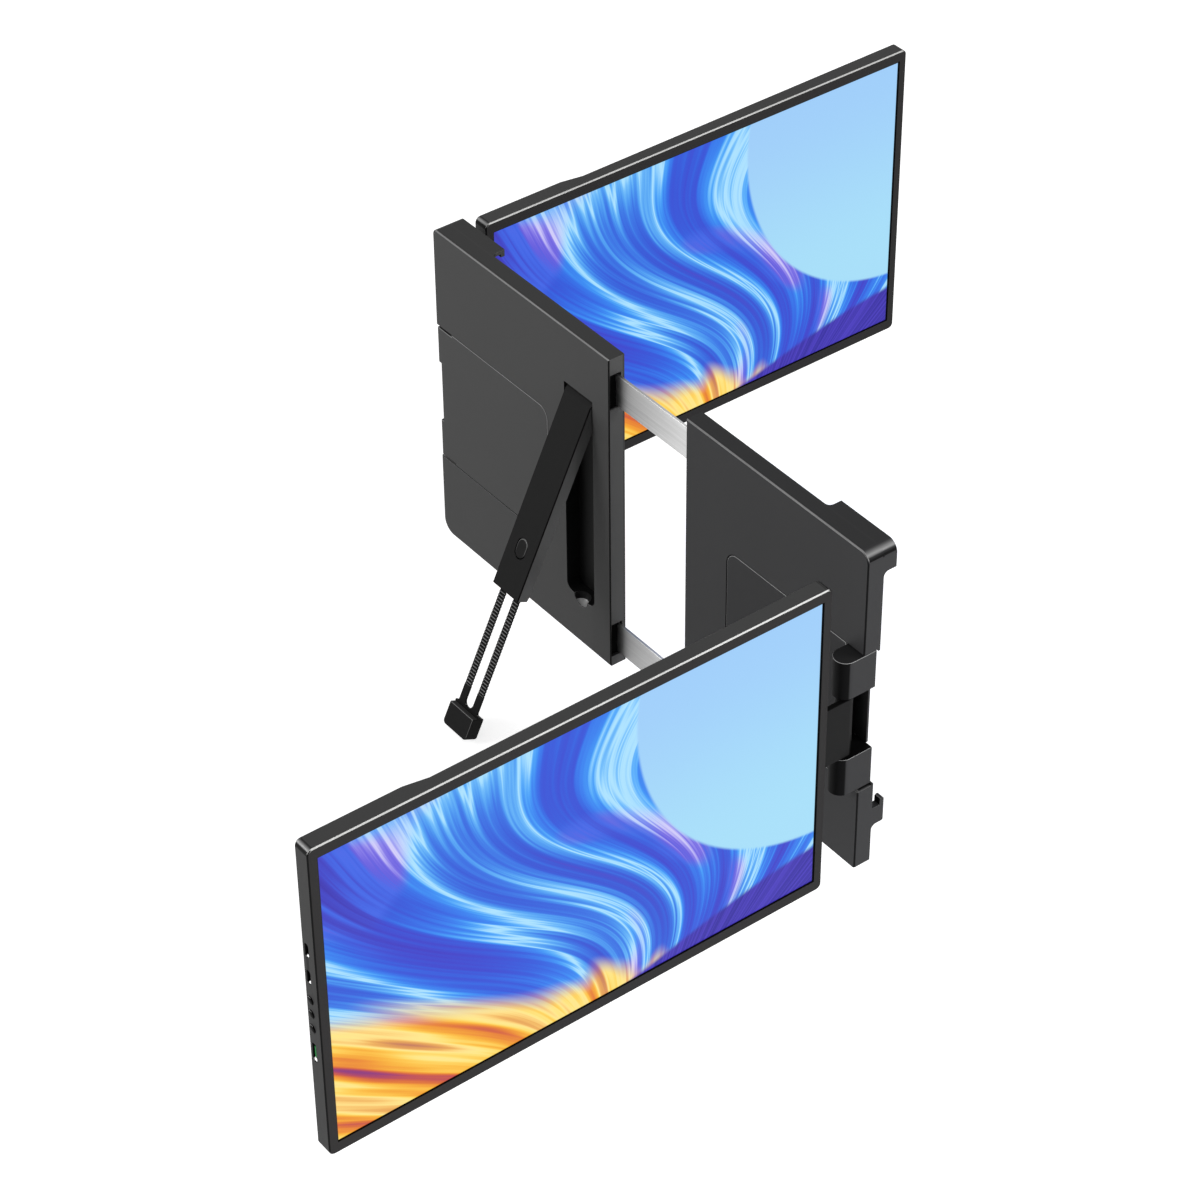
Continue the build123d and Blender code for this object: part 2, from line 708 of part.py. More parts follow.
def end_sign(side):
    """+1 when the free end faces +Y, -1 when it faces -Y."""
    return 1 if side == LEFT else -1


def end_block(side, d0, d1, deep0, deep1, z0, z1, mode=Mode.ADD):
    """Box at the free end: depths below the display face, distances in from the end."""
    face_x, low_y, _, free_v = place_of(side)
    sign = end_sign(side)
    y_end = low_y + free_v
    block(face_x - d1, face_x - d0, y_end - sign * deep0, y_end - sign * deep1, z0, z1, mode=mode)


def end_plane(side, deep=0.0):
    """Plane on the free end, normal pointing out of the wing, local x = +Z."""
    face_x, low_y, _, free_v = place_of(side)
    sign = end_sign(side)
    return Plane(
        origin=(face_x - port_depth(side), low_y + free_v - sign * deep, 0),
        x_dir=(0, 0, 1), z_dir=(0, sign, 0),
    )


def bevelled_port(side, length, thick):
    """Port outline with two corners bevelled on the side nearer the wing's back."""
    back = -end_sign(side) * thick / 2
    bevel = HDMI_BEVEL * back / abs(back)
    with BuildSketch(mode=Mode.PRIVATE) as shape:
        with BuildLine():
            Polyline(
                (-length / 2, -back), (length / 2, -back), (length / 2, back - bevel),
                (length / 2 - HDMI_BEVEL, back), (HDMI_BEVEL - length / 2, back),
                (-length / 2, back - bevel), close=True,
            )
        make_face()
    return shape.sketch


def board_depth(side):
    return port_depth(side) - USB_THICK / 2


def post_spots(side):
    face_x, low_y, _, free_v = place_of(side)
    y_end = low_y + free_v
    sign = end_sign(side)
    return [
        (y_end - sign * deep, height)
        for deep in (14.0, SHELL_RIM + BOARD_WIDE - 2.5)
        for height in (BOARD_BOTTOM + 3.5, BOARD_TOP - 3.5)
    ]


def make_shell(side):
    face_x, low_y, hinge_v, free_v = place_of(side)
    bay0 = SHELL_RIM if hinge_v > 0 else HINGE_BLOCK
    bay1 = WING_LENGTH - HINGE_BLOCK if hinge_v > 0 else WING_LENGTH - SHELL_RIM
    _, _, slot0, slot1 = tongue_numbers(side)
    with BuildPart() as shell:
        with BuildSketch(Plane.XY.offset(WING_BOTTOM)):
            add(profile(face_x, low_y, BEZEL_THICK, 0.0, 0.0, WING_LENGTH))
        extrude(amount=WING_HEIGHT)
        with BuildSketch(Plane.YZ.offset(face_x)):
            with Locations((low_y + WING_LENGTH / 2, WING_MID_Z)):
                RectangleRounded(WING_LENGTH, WING_HEIGHT, WING_CORNER)
        extrude(amount=-WING_THICK - 1, mode=Mode.INTERSECT)
        rim = shell.faces().sort_by(Axis.X)[-1].edges()
        back = shell.edges() - rim
        outer = [
            e for e in back
            if abs(e.center().Z - WING_MID_Z) > WING_HEIGHT / 2 - 1.5
            or abs(e.center().Y - low_y - WING_LENGTH / 2) > WING_LENGTH / 2 - 1.5
        ]
        outer = [e for e in outer if e.bounding_box().size.X < 3.0]
        chamfer(outer, SHELL_EDGE)
        # display bay
        with BuildSketch(Plane.YZ.offset(face_x - BEZEL_THICK)) as bay_face:
            with Locations((low_y + WING_LENGTH / 2, WING_MID_Z)):
                Rectangle(WING_LENGTH - 2 * SHELL_RIM, WING_HEIGHT - 2 * SHELL_RIM)
            chamfer(bay_face.vertices(), BAY_CORNER)
        extrude(amount=-DISPLAY_THICK, mode=Mode.SUBTRACT)
        # electronics bay
        with BuildSketch(Plane.XY.offset(WING_BOTTOM + 3.0)):
            add(profile(face_x, low_y, DISPLAY_BACK - 0.1, SHELL_SKIN, bay0, bay1))
        extrude(amount=WING_HEIGHT - 6.0, mode=Mode.SUBTRACT)
        # tongue slot in the hinge end
        end = low_y + hinge_v
        inward = 1 if hinge_v == 0 else -1
        block(
            slot0, slot1, end - inward, end + inward * (TONGUE_INSERT + TONGUE_FIT),
            TONGUE_BOTTOM - TONGUE_FIT, TONGUE_TOP + TONGUE_FIT, mode=Mode.SUBTRACT,
        )
        # posts under the control board
        for y, z in post_spots(side):
            top = face_x - board_depth(side)
            block(
                top - WING_WAIST, top, y - POST_SIDE / 2, y + POST_SIDE / 2,
                z - POST_SIDE / 2, z + POST_SIDE / 2,
            )
        with BuildSketch(Plane.XY.offset(WING_BOTTOM)):
            add(profile(face_x, low_y, -5.0, 0.0, 0.0, WING_LENGTH))
        extrude(amount=WING_HEIGHT, mode=Mode.INTERSECT)
        # openings in the free end
        with BuildSketch(end_plane(side)):
            for height in USB_HEIGHTS:
                with Locations((height, 0)):
                    add(flat_slot(USB_LENGTH + 2 * PORT_CLEAR, USB_THICK + 2 * PORT_CLEAR))
            with Locations((HDMI_HEIGHT, 0)):
                add(bevelled_port(side, HDMI_LENGTH + 2 * PORT_CLEAR, HDMI_THICK + 2 * PORT_CLEAR))
            for height in BUTTON_HEIGHTS:
                with Locations((height, 0)):
                    RegularPolygon(BUTTON_RADIUS + BUTTON_GAP, BUTTON_SIDES)
        extrude(amount=-SHELL_RIM - 0.5, mode=Mode.SUBTRACT)
    return shell


def make_bezel(side):
    face_x, low_y, _, _ = place_of(side)
    with BuildPart() as bezel:
        with BuildSketch(Plane.YZ.offset(face_x)):
            with Locations((low_y + WING_LENGTH / 2, WING_MID_Z)):
                RectangleRounded(WING_LENGTH, WING_HEIGHT, WING_CORNER)
        extrude(amount=-BEZEL_THICK)
        chamfer(bezel.faces().sort_by(Axis.X)[-1].edges(), BEZEL_EDGE)
        with BuildSketch(Plane.YZ.offset(face_x)):
            with Locations((low_y + WING_LENGTH / 2, WING_MID_Z + WINDOW_LIFT)):
                Rectangle(WINDOW_LENGTH, WINDOW_HEIGHT)
        extrude(amount=-BEZEL_THICK, mode=Mode.SUBTRACT)
    return bezel


def make_display(side):
    face_x, low_y, _, _ = place_of(side)
    with BuildPart() as display:
        with BuildSketch(Plane.YZ.offset(face_x - BEZEL_THICK)) as display_face:
            with Locations((low_y + WING_LENGTH / 2, WING_MID_Z)):
                Rectangle(
                    WING_LENGTH - 2 * (SHELL_RIM + DISPLAY_GAP),
                    WING_HEIGHT - 2 * (SHELL_RIM + DISPLAY_GAP),
                )
            chamfer(display_face.vertices(), BAY_CORNER)
        extrude(amount=-DISPLAY_THICK)
    return display


def make_board(side):
    with BuildPart() as board:
        deep = board_depth(side)
        end_block(
            side, deep - BOARD_THICK, deep, SHELL_RIM + BOARD_SETBACK, SHELL_RIM + BOARD_WIDE,
            BOARD_BOTTOM, BOARD_TOP,
        )
        for height in BUTTON_HEIGHTS:
            end_block(
                side, deep, deep + 3.0, SHELL_RIM + BUTTON_TAIL + BUTTON_TRAVEL + 0.1, SHELL_RIM + 5.2,
                height - 3.0, height + 3.0,
            )
    return board


def make_usb_sockets(side):
    with BuildPart() as sockets:
        for height in USB_HEIGHTS:
            with BuildSketch(end_plane(side, SOCKET_SETBACK)):
                with Locations((height, 0)):
                    add(flat_slot(USB_LENGTH, USB_THICK))
            extrude(amount=-SOCKET_DEEP)
        for height in USB_HEIGHTS:
            with BuildSketch(end_plane(side, SOCKET_SETBACK)):
                with Locations((height, 0)):
                    Rectangle(USB_LENGTH - 1.9, USB_THICK - 2 * SOCKET_WALL)
                    Rectangle(6.0, 0.7, mode=Mode.SUBTRACT)
            extrude(amount=-SOCKET_DEEP + 1.0, mode=Mode.SUBTRACT)
    return sockets


def make_hdmi_socket(side):
    with BuildPart() as socket:
        with BuildSketch(end_plane(side, SOCKET_SETBACK)):
            with Locations((HDMI_HEIGHT, 0)):
                add(bevelled_port(side, HDMI_LENGTH, HDMI_THICK))
        extrude(amount=-SOCKET_DEEP)
        with BuildSketch(end_plane(side, SOCKET_SETBACK)):
            with Locations((HDMI_HEIGHT, 0)):
                add(bevelled_port(side, HDMI_LENGTH - 2 * SOCKET_WALL, HDMI_THICK - 2 * SOCKET_WALL))
                Rectangle(HDMI_LENGTH - 3.0, 0.8, mode=Mode.SUBTRACT)
        extrude(amount=-SOCKET_DEEP + 1.0, mode=Mode.SUBTRACT)
    return socket


def make_push_button(side, height):
    with BuildPart() as button:
        with BuildSketch(end_plane(side, -BUTTON_PROUD)):
            with Locations((height, 0)):
                RegularPolygon(BUTTON_RADIUS, BUTTON_SIDES)
        extrude(amount=-(BUTTON_PROUD + SHELL_RIM + 0.2))
        chamfer(button.faces().sort_by(Axis.Y, reverse=side == LEFT)[0].edges(), BUTTON_CHAMFER)
        with BuildSketch(end_plane(side, SHELL_RIM + 0.2)):
            with Locations((height, 0)):
                Rectangle(2 * BUTTON_FLANGE, 2 * BUTTON_RADIUS)
        extrude(amount=0.2 - BUTTON_TAIL)
    return button


def make_tongue(side):
    face_x, low_y, hinge_v, _ = place_of(side)
    x_axis = inset(side, AXIS_INSET)
    centre_y = axis_y(side)
    low, high, slot0, slot1 = tongue_numbers(side)
    end = low_y + hinge_v
    inward = 1 if hinge_v == 0 else -1
    with BuildPart() as tongue:
        with BuildSketch(Plane.XY.offset(TONGUE_BOTTOM)):
            with Locations((x_axis, centre_y)):
                Circle(TONGUE_RADIUS)
            with Locations(((low + high) / 2, (centre_y + end) / 2)):
                Rectangle(high - low, abs(end - centre_y))
            with Locations(((slot0 + slot1) / 2, end + inward * TONGUE_INSERT / 2)):
                Rectangle(slot1 - slot0, TONGUE_INSERT)
            with Locations((x_axis, centre_y)):
                Circle(PIN_RADIUS + RUN_CLEAR, mode=Mode.SUBTRACT)
        extrude(amount=TONGUE_TOP - TONGUE_BOTTOM)
    return tongue


for side, word in ((LEFT, "left"), (RIGHT, "right")):
    finish(make_shell(side), f"{word}_wing_back_shell")
    finish(make_bezel(side), f"{word}_wing_bezel")
    finish(make_display(side), f"{word}_wing_display")
    finish(make_board(side), f"{word}_wing_control_board")
    finish(make_usb_sockets(side), f"{word}_wing_usb_sockets")
    finish(make_hdmi_socket(side), f"{word}_wing_hdmi_socket")
    finish(make_tongue(side), f"{word}_wing_hinge_tongue")
    for height, role in zip(BUTTON_HEIGHTS, ("lower", "middle", "upper")):
        finish(make_push_button(side, height), f"{word}_wing_{role}_button")


# ---- kickstand ----
COS = math.cos(math.radians(STAND_ANGLE))
SIN = math.sin(math.radians(STAND_ANGLE))
LEG_ORIGIN = (STAND_X, PIVOT_Y - PIVOT_DEPTH * COS, PIVOT_Z + PIVOT_DEPTH * SIN)
# Leg plane: local x across, local y up the leg, normal out of its back face.
LEG_PLANE = Plane(origin=LEG_ORIGIN, x_dir=(1, 0, 0), z_dir=(0, -COS, SIN))
# Side plane: local x down the leg, local y into the leg from its back face.
LEG_SIDE_PLANE = Plane(origin=LEG_ORIGIN, x_dir=(0, -SIN, -COS), z_dir=(1, 0, 0))


def leg_depth(depth):
    return LEG_PLANE.offset(-depth)


def leg_profile(s0, s1, t0, t1):
    """Side outline of a leg piece with the chamfered lower front corner."""
    with BuildSketch(mode=Mode.PRIVATE) as shape:
        with BuildLine():
            Polyline((s0, t0), (s1, t0), (s1, 7.0), (s1 - 4.0, t1), (s0, t1), close=True)
        make_face()
    return shape.sketch


CHANNEL_BACK = FORK_BACK - FORK_CLEAR
CHANNEL_FRONT = FORK_BACK + FORK_THICK + FORK_CLEAR

with BuildPart() as housing:
    with BuildSketch(LEG_SIDE_PLANE):
        add(leg_profile(2.5, LEG_LENGTH, 0.0, LEG_THICK))
        with BuildLine():
            Polyline((0, 0.8), (2.5, 0), (2.5, LEG_THICK), (0, LEG_THICK), close=True)
        make_face()
        with Locations((0, PIVOT_DEPTH)):
            Circle(LEG_KNUCKLE)
    extrude(amount=LEG_WIDE / 2, both=True)
    sides = housing.faces().filter_by(Axis.X)
    fillet(sides.edges().filter_by_position(Axis.Z, 40, 170).filter_by(
        lambda e: e.length > 100 and LEG_PLANE.to_local_coords(e.center()).Z > -1.0), 0.6)
    with BuildSketch(leg_depth(CHANNEL_FRONT)):
        with Locations((0, -(HOLLOW_START + LEG_LENGTH) / 2 - 0.5)):
            Rectangle(LEG_WIDE - 2 * LEG_SIDE, LEG_LENGTH - HOLLOW_START + 1.0)
    extrude(amount=-LEG_THICK, mode=Mode.SUBTRACT)
    with BuildSketch(leg_depth(CHANNEL_BACK)):
        with Locations((0, -(CHANNEL_START + LEG_LENGTH) / 2 - 0.5)):
            Rectangle(FORK_WIDE + 0.4, LEG_LENGTH - CHANNEL_START + 1.0)
        with Locations((0, -LEG_LENGTH)):
            Rectangle(LEG_WIDE - 2 * LEG_SIDE, 2 * CHANNEL_MOUTH)
    extrude(amount=-(CHANNEL_FRONT - CHANNEL_BACK) - 0.1, mode=Mode.SUBTRACT)
    with BuildSketch(LEG_PLANE):
        with Locations((0, -RELEASE_CENTRE)):
            hole = flat_slot(
                RELEASE_TALL + 2 * RELEASE_GAP, RELEASE_WIDE + 2 * RELEASE_GAP, RELEASE_FLAT_COUNT,
            )
            add(hole, rotation=90)
    extrude(amount=-CHANNEL_BACK - 0.1, mode=Mode.SUBTRACT)
    with Locations(Plane.YZ.offset(STAND_X)):
        with Locations((PIVOT_Y, PIVOT_Z)):
            Cylinder(PIVOT_RADIUS + RUN_CLEAR, LEG_WIDE + 2, mode=Mode.SUBTRACT)
finish(housing, "kickstand_leg_housing")

with BuildPart() as leg_plate:
    with BuildSketch(LEG_SIDE_PLANE):
        add(leg_profile(8.1, LEG_LENGTH, CHANNEL_FRONT, LEG_THICK))
    extrude(amount=LEG_WIDE / 2 - LEG_SIDE - 0.05, both=True)
    with BuildSketch(leg_depth(CHANNEL_FRONT)):
        with Locations((0, -RELEASE_CENTRE)):
            Rectangle(PAWL_WIDE + 0.8, PAWL_TALL + 0.8)
    extrude(amount=-1.6, mode=Mode.SUBTRACT)
finish(leg_plate, "kickstand_leg_plate")

with BuildPart() as fork:
    back_points = []
    front_points = []
    for tooth in range(TOOTH_COUNT):
        start = FORK_START + tooth * TOOTH_PITCH
        back_points += [(start, FORK_BACK + TOOTH_DEEP), (start + TOOTH_PITCH / 2, FORK_BACK)]
        front_points += [
            (start, FORK_BACK + FORK_THICK - TOOTH_DEEP), (start + TOOTH_PITCH / 2, FORK_BACK + FORK_THICK),
        ]
    tooth_end = FORK_START + TOOTH_COUNT * TOOTH_PITCH
    with BuildSketch(LEG_SIDE_PLANE):
        with BuildLine():
            Polyline(
                *back_points,
                (tooth_end, FORK_BACK + TOOTH_DEEP), (tooth_end + 0.4, FORK_BACK),
                (FOOT_START + FOOT_INSERT, FORK_BACK), (FOOT_START + FOOT_INSERT, FORK_BACK + FORK_THICK),
                (tooth_end + 0.4, FORK_BACK + FORK_THICK), (tooth_end, FORK_BACK + FORK_THICK - TOOTH_DEEP),
                *reversed(front_points),
                close=True,
            )
        make_face()
    extrude(amount=FOOT_WIDE / 2, both=True)
    with BuildSketch(leg_depth(FORK_BACK - 1)) as fork_face:
        with Locations((0, -(FORK_START + FOOT_START) / 2)):
            Rectangle(FORK_WIDE, FOOT_START - FORK_START + 0.01)
        with Locations((0, -FOOT_START + 0.6)):
            Rectangle(FOOT_WIDE, 1.2)
        necks = fork_face.vertices().filter_by_position(Axis.Y, -FOOT_START + 1.1, -FOOT_START + 1.3)
        fillet(necks.sort_by(Axis.X)[1:-1], 1.9)
        with Locations((0, -FOOT_START - FOOT_INSERT / 2)):
            Rectangle(FORK_WIDE, FOOT_INSERT)
        with Locations((0, -(FORK_START + FORK_SLOT_END) / 2 + FORK_SLOT / 2)):
            SlotOverall(FORK_SLOT_END - FORK_START + FORK_SLOT, FORK_SLOT, rotation=90, mode=Mode.SUBTRACT)
    extrude(amount=-FORK_THICK - 2, mode=Mode.INTERSECT)
finish(fork, "kickstand_fork")

with BuildPart() as foot:
    with BuildSketch(leg_depth(FOOT_BACK)) as foot_face:
        with Locations((0, -(FOOT_START + FOOT_END) / 2)):
            Rectangle(FOOT_WIDE, FOOT_END - FOOT_START)
        fillet(foot_face.vertices().sort_by(Axis.Y)[:2], 2.5)
    extrude(amount=FOOT_BACK - FOOT_FRONT)
    with BuildSketch(leg_depth(FORK_BACK)):
        with Locations((0, -FOOT_START - FOOT_INSERT / 2)):
            Rectangle(FORK_WIDE, FOOT_INSERT)
    extrude(amount=-FORK_THICK, mode=Mode.SUBTRACT)
finish(foot, "kickstand_foot")

with BuildPart() as release:
    with BuildSketch(LEG_PLANE):
        with Locations((0, -RELEASE_CENTRE)):
            add(flat_slot(RELEASE_TALL, RELEASE_WIDE, RELEASE_FLAT_COUNT), rotation=90)
    extrude(amount=-RELEASE_DEEP)
    rim = release.edges().filter_by(lambda e: abs(LEG_PLANE.to_local_coords(e.center()).Z) < 0.01)
    chamfer(rim, 0.4)
    with BuildSketch(leg_depth(RELEASE_DEEP)):
        with Locations((0, -RELEASE_CENTRE)):
            Rectangle(STEM_WIDE, STEM_TALL)
    extrude(amount=RELEASE_DEEP - CHANNEL_FRONT)
finish(release, "kickstand_release_button")

with BuildPart() as pawl:
    with BuildSketch(leg_depth(CHANNEL_FRONT)):
        with Locations((0, -RELEASE_CENTRE)):
            Rectangle(PAWL_WIDE, PAWL_TALL)
    extrude(amount=-PAWL_THICK)
finish(pawl, "kickstand_pawl")

with BuildPart() as pivot_pin:
    with Locations(Plane.YZ.offset(STAND_X)):
        with Locations((PIVOT_Y, PIVOT_Z)):
            Cylinder(PIVOT_RADIUS, 2 * (RECESS_HALF + PIVOT_INSERT))
finish(pivot_pin, "kickstand_pivot_pin")
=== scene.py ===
# %% [markdown]
# A clip-on screen extender.
# Two clamp halves slide apart on flat rails and hook over a laptop's lid. A display wing
# hangs on a hinge at each outer end, and a toothed kickstand carries the weight from behind.
# The engineering model gives every rigid piece its place, so this script starts by loading it
# and keeps its box.

import json
import math

import bmesh
import bpy
from mathutils import Matrix, Vector


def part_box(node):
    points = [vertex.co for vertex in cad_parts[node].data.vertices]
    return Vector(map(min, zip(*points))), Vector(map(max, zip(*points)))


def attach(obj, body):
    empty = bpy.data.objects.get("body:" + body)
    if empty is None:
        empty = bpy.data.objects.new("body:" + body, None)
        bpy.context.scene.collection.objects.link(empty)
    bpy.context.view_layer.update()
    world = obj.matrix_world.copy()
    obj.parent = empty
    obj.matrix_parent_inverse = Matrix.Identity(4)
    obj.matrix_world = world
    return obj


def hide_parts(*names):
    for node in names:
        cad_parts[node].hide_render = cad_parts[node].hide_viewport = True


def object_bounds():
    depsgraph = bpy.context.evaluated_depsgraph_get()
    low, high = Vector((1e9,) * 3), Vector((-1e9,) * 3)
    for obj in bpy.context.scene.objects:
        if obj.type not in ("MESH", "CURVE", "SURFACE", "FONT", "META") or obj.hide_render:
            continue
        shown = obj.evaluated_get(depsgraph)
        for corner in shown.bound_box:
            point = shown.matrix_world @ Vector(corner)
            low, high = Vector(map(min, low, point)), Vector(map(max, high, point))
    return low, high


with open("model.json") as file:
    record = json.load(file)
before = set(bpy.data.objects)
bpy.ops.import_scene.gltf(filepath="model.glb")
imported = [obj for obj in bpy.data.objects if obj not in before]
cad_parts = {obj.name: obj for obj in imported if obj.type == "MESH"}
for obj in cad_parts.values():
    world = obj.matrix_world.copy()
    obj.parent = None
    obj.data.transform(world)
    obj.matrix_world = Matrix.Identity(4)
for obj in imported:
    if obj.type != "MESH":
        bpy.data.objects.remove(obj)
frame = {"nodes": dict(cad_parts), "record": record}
nodes = frame["nodes"]
cad_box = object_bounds()
print("pieces loaded:", len(nodes))

# %% [markdown]
# Colours are written as a maker would note them, as screen values such as #444444.
# A shader works in linear light, so each one is converted once, here.

# %% Colours
def paint(code):
    values = [int(code[i:i + 2], 16) / 255 for i in (1, 3, 5)]
    linear = [v / 12.92 if v <= 0.04045 else ((v + 0.055) / 1.055) ** 2.4 for v in values]
    return (*linear, 1.0)


print("#444444 in linear light:", round(paint("#444444")[0], 4))

# %% [markdown]
# A material is a graph of nodes. Wiring it by hand is wordy, so one helper adds a node with
# its settings and another joins two sockets. Both take the tree first, so that they serve
# materials and node groups alike.

# %% Node helpers
def put(tree, kind, values=None, **settings):
    node = tree.nodes.new(kind)
    for name, value in settings.items():
        setattr(node, name, value)
    for name, value in (values or {}).items():
        node.inputs[name].default_value = value
    return node


def join(tree, source, output, target, socket):
    tree.links.new(source.outputs[output], target.inputs[socket])


print("node helpers: put, join")

# %% [markdown]
# Patterns are mostly sums on numbers and blends of colours. These three helpers take plain
# values or the outputs of other nodes, so a formula reads almost as it would on paper. The
# colour sockets of a Mix node share their names with its number sockets, so they are taken
# by their places in the list.

# %% Sums and blends
MIX_BELOW, MIX_ABOVE, MIX_RESULT = 6, 7, 2


def calc(tree, operation, a, b=None, c=None):
    node = put(tree, "ShaderNodeMath", operation=operation)
    for index, value in enumerate((a, b, c)):
        if value is None:
            continue
        if isinstance(value, (int, float)):
            node.inputs[index].default_value = value
        else:
            tree.links.new(value, node.inputs[index])
    return node.outputs["Value"]


def blend_over(tree, mask, below, above):
    mix = put(tree, "ShaderNodeMix", data_type="RGBA")
    tree.links.new(mask, mix.inputs[0])
    for socket, value in ((MIX_BELOW, below), (MIX_ABOVE, above)):
        if isinstance(value, str):
            mix.inputs[socket].default_value = paint(value)
        else:
            tree.links.new(value, mix.inputs[socket])
    return mix.outputs[MIX_RESULT]


def dim(tree, colour, factor):
    """A colour times a number."""
    node = put(tree, "ShaderNodeVectorMath", operation="SCALE")
    if isinstance(colour, str):
        node.inputs[0].default_value = paint(colour)[:3]
    else:
        tree.links.new(colour, node.inputs[0])
    tree.links.new(factor, node.inputs["Scale"])
    return node.outputs["Vector"]


print("sum helpers: calc, blend_over, dim")

# %% [markdown]
# Every finish starts from the Principled shader, which covers plastic, metal and a lit
# screen. This helper sets its plain values and hands the shader back for wiring.

# %% New material
def new_material(name, roughness=0.5, metallic=0.0, **sockets):
    material = bpy.data.materials.new(name)
    material.use_nodes = True
    shader = material.node_tree.nodes["Principled BSDF"]
    shader.inputs["Roughness"].default_value = roughness
    shader.inputs["Metallic"].default_value = metallic
    for socket, value in sockets.items():
        shader.inputs[socket.replace("_", " ")].default_value = value
    return material, shader


print("material helper: new_material")

# %% [markdown]
# Moulded housings have a spark-eroded grain: a fine, even pebble that scatters light, plus a
# slow drift in tone that comes from handling. It could be painted on, but noise on the
# object's own coordinates needs no unwrapping and shows no seams. Many materials share it, so
# it is one node group, built here in parts. First come its sockets and the drift in tone.

# %% Grain: sockets and tone
# One input sets how strongly edges take the painted highlight colour.
GRAIN_INPUTS = {
    "Scale": 2500.0, "Drift": 0.08, "Roughness": 0.5, "Spread": 0.06, "Polish": 0.5, "Wear": 0.3,
}


def add_grain_sockets(group):
    face = group.interface
    for name in ("Colour", "Edge"):
        face.new_socket(name, in_out="INPUT", socket_type="NodeSocketColor")
    for name, value in GRAIN_INPUTS.items():
        socket = face.new_socket(name, in_out="INPUT", socket_type="NodeSocketFloat")
        socket.default_value = value
    face.new_socket("Colour", in_out="OUTPUT", socket_type="NodeSocketColor")
    for name in ("Roughness", "Height", "Coat"):
        face.new_socket(name, in_out="OUTPUT", socket_type="NodeSocketFloat")


def drift_tone(group, entry, cloud):
    """The written colour, a little lighter in some places and darker in others."""
    centred = calc(group, "SUBTRACT", cloud.outputs["Fac"], 0.5)
    drift = calc(group, "MULTIPLY", centred, entry.outputs["Drift"])
    return dim(group, entry.outputs["Colour"], calc(group, "ADD", drift, 1.0))


print("grain inputs:", ", ".join(GRAIN_INPUTS))

# %% [markdown]
# The softened pieces further down carry a mask named "edge". Above 0 the colour is painted
# lighter, a painted highlight, and a thin gloss coat is added, both broken up by the same slow
# noise. Below 0 the place is deep or turned away, and is darkened by painted shade. Curvature
# could be worked out while rendering, but a mask can also be set where a piece needs it.

# %% Grain: painted highlights and painted shade
PAINTED_SHADE_LOSS = 0.92


def paint_edge_light_and_shade(group, entry, cloud, tone):
    """The colour with painted highlights and painted shade, and the gloss coat."""
    mask = put(group, "ShaderNodeAttribute", attribute_name="edge").outputs["Fac"]
    broken = put(group, "ShaderNodeMapRange", {"From Min": 0.3, "From Max": 0.7, "To Min": 0.8})
    join(group, cloud, "Fac", broken, "Value")
    # Above 0 the mask lightens the colour towards the edge colour: a painted highlight.
    highlight_mask = calc(group, "MULTIPLY", calc(group, "MAXIMUM", mask, 0.0), broken.outputs["Result"])
    # Below 0 the mask darkens the colour: painted shade.
    deep = calc(group, "MULTIPLY", calc(group, "MINIMUM", mask, 0.0), PAINTED_SHADE_LOSS)
    highlight_amount = calc(group, "MULTIPLY", highlight_mask, entry.outputs["Wear"])
    lighter = blend_over(group, highlight_amount, tone, entry.outputs["Edge"])
    colour = dim(group, lighter, calc(group, "ADD", deep, 1.0))
    return colour, calc(group, "MULTIPLY", highlight_mask, entry.outputs["Polish"])


print("colour left in the deepest places:", round(1 - PAINTED_SHADE_LOSS, 2))

# %% [markdown]
# The parts are joined into the group. The pebble also drives the roughness and gives the
# height for a bump, so that tone, shine and relief belong to the same grain.

# %% Moulded grain group
def make_grain_group():
    group = bpy.data.node_groups.new("moulded_grain", "ShaderNodeTree")
    add_grain_sockets(group)
    entry = put(group, "NodeGroupInput")
    leave = put(group, "NodeGroupOutput")
    place = put(group, "ShaderNodeTexCoord")
    pebble = put(group, "ShaderNodeTexNoise", {"Detail": 2.0, "Roughness": 0.6})
    cloud = put(group, "ShaderNodeTexNoise", {"Scale": 18.0, "Detail": 3.0})
    join(group, place, "Object", pebble, "Vector")
    join(group, place, "Object", cloud, "Vector")
    join(group, entry, "Scale", pebble, "Scale")
    colour, coat = paint_edge_light_and_shade(group, entry, cloud, drift_tone(group, entry, cloud))
    level = calc(group, "SUBTRACT", pebble.outputs["Fac"], 0.5)
    rough = calc(group, "MULTIPLY_ADD", level, entry.outputs["Spread"], entry.outputs["Roughness"])
    group.links.new(colour, leave.inputs["Colour"])
    group.links.new(coat, leave.inputs["Coat"])
    group.links.new(rough, leave.inputs["Roughness"])
    join(group, pebble, "Fac", leave, "Height")
    return group


grain_group = make_grain_group()
print("nodes in the grain group:", len(grain_group.nodes))

# %% [markdown]
# A moulded finish is that group with its own values: the colour, the colour of the painted
# highlights on its edges, how strongly they are painted and how much gloss coat it brings (polish).

# %% Moulded finish
# The edge colour is the colour of the painted highlights.
def moulded(
    name, colour, roughness=0.45, bump=0.02, polish=0.5, highlight_share=0.3, gloss=0.06, edge="#a8a8a8",
):
    material, shader = new_material(
        name, Specular_IOR_Level=gloss, Coat_Roughness=0.2, Coat_IOR=1.5,
    )
    tree = material.node_tree
    grain = put(tree, "ShaderNodeGroup", node_tree=grain_group)
    grain.inputs["Colour"].default_value = paint(colour)
    grain.inputs["Edge"].default_value = paint(edge)
    grain.inputs["Roughness"].default_value = roughness
    grain.inputs["Polish"].default_value = polish
    grain.inputs["Wear"].default_value = highlight_share
    relief = put(tree, "ShaderNodeBump", {"Strength": bump, "Distance": 0.0002})
    join(tree, grain, "Colour", shader, "Base Color")
    join(tree, grain, "Roughness", shader, "Roughness")
    join(tree, grain, "Height", relief, "Height")
    join(tree, relief, "Normal", shader, "Normal")
    join(tree, grain, "Coat", shader, "Coat Weight")
    return material


print("finish helper: moulded")
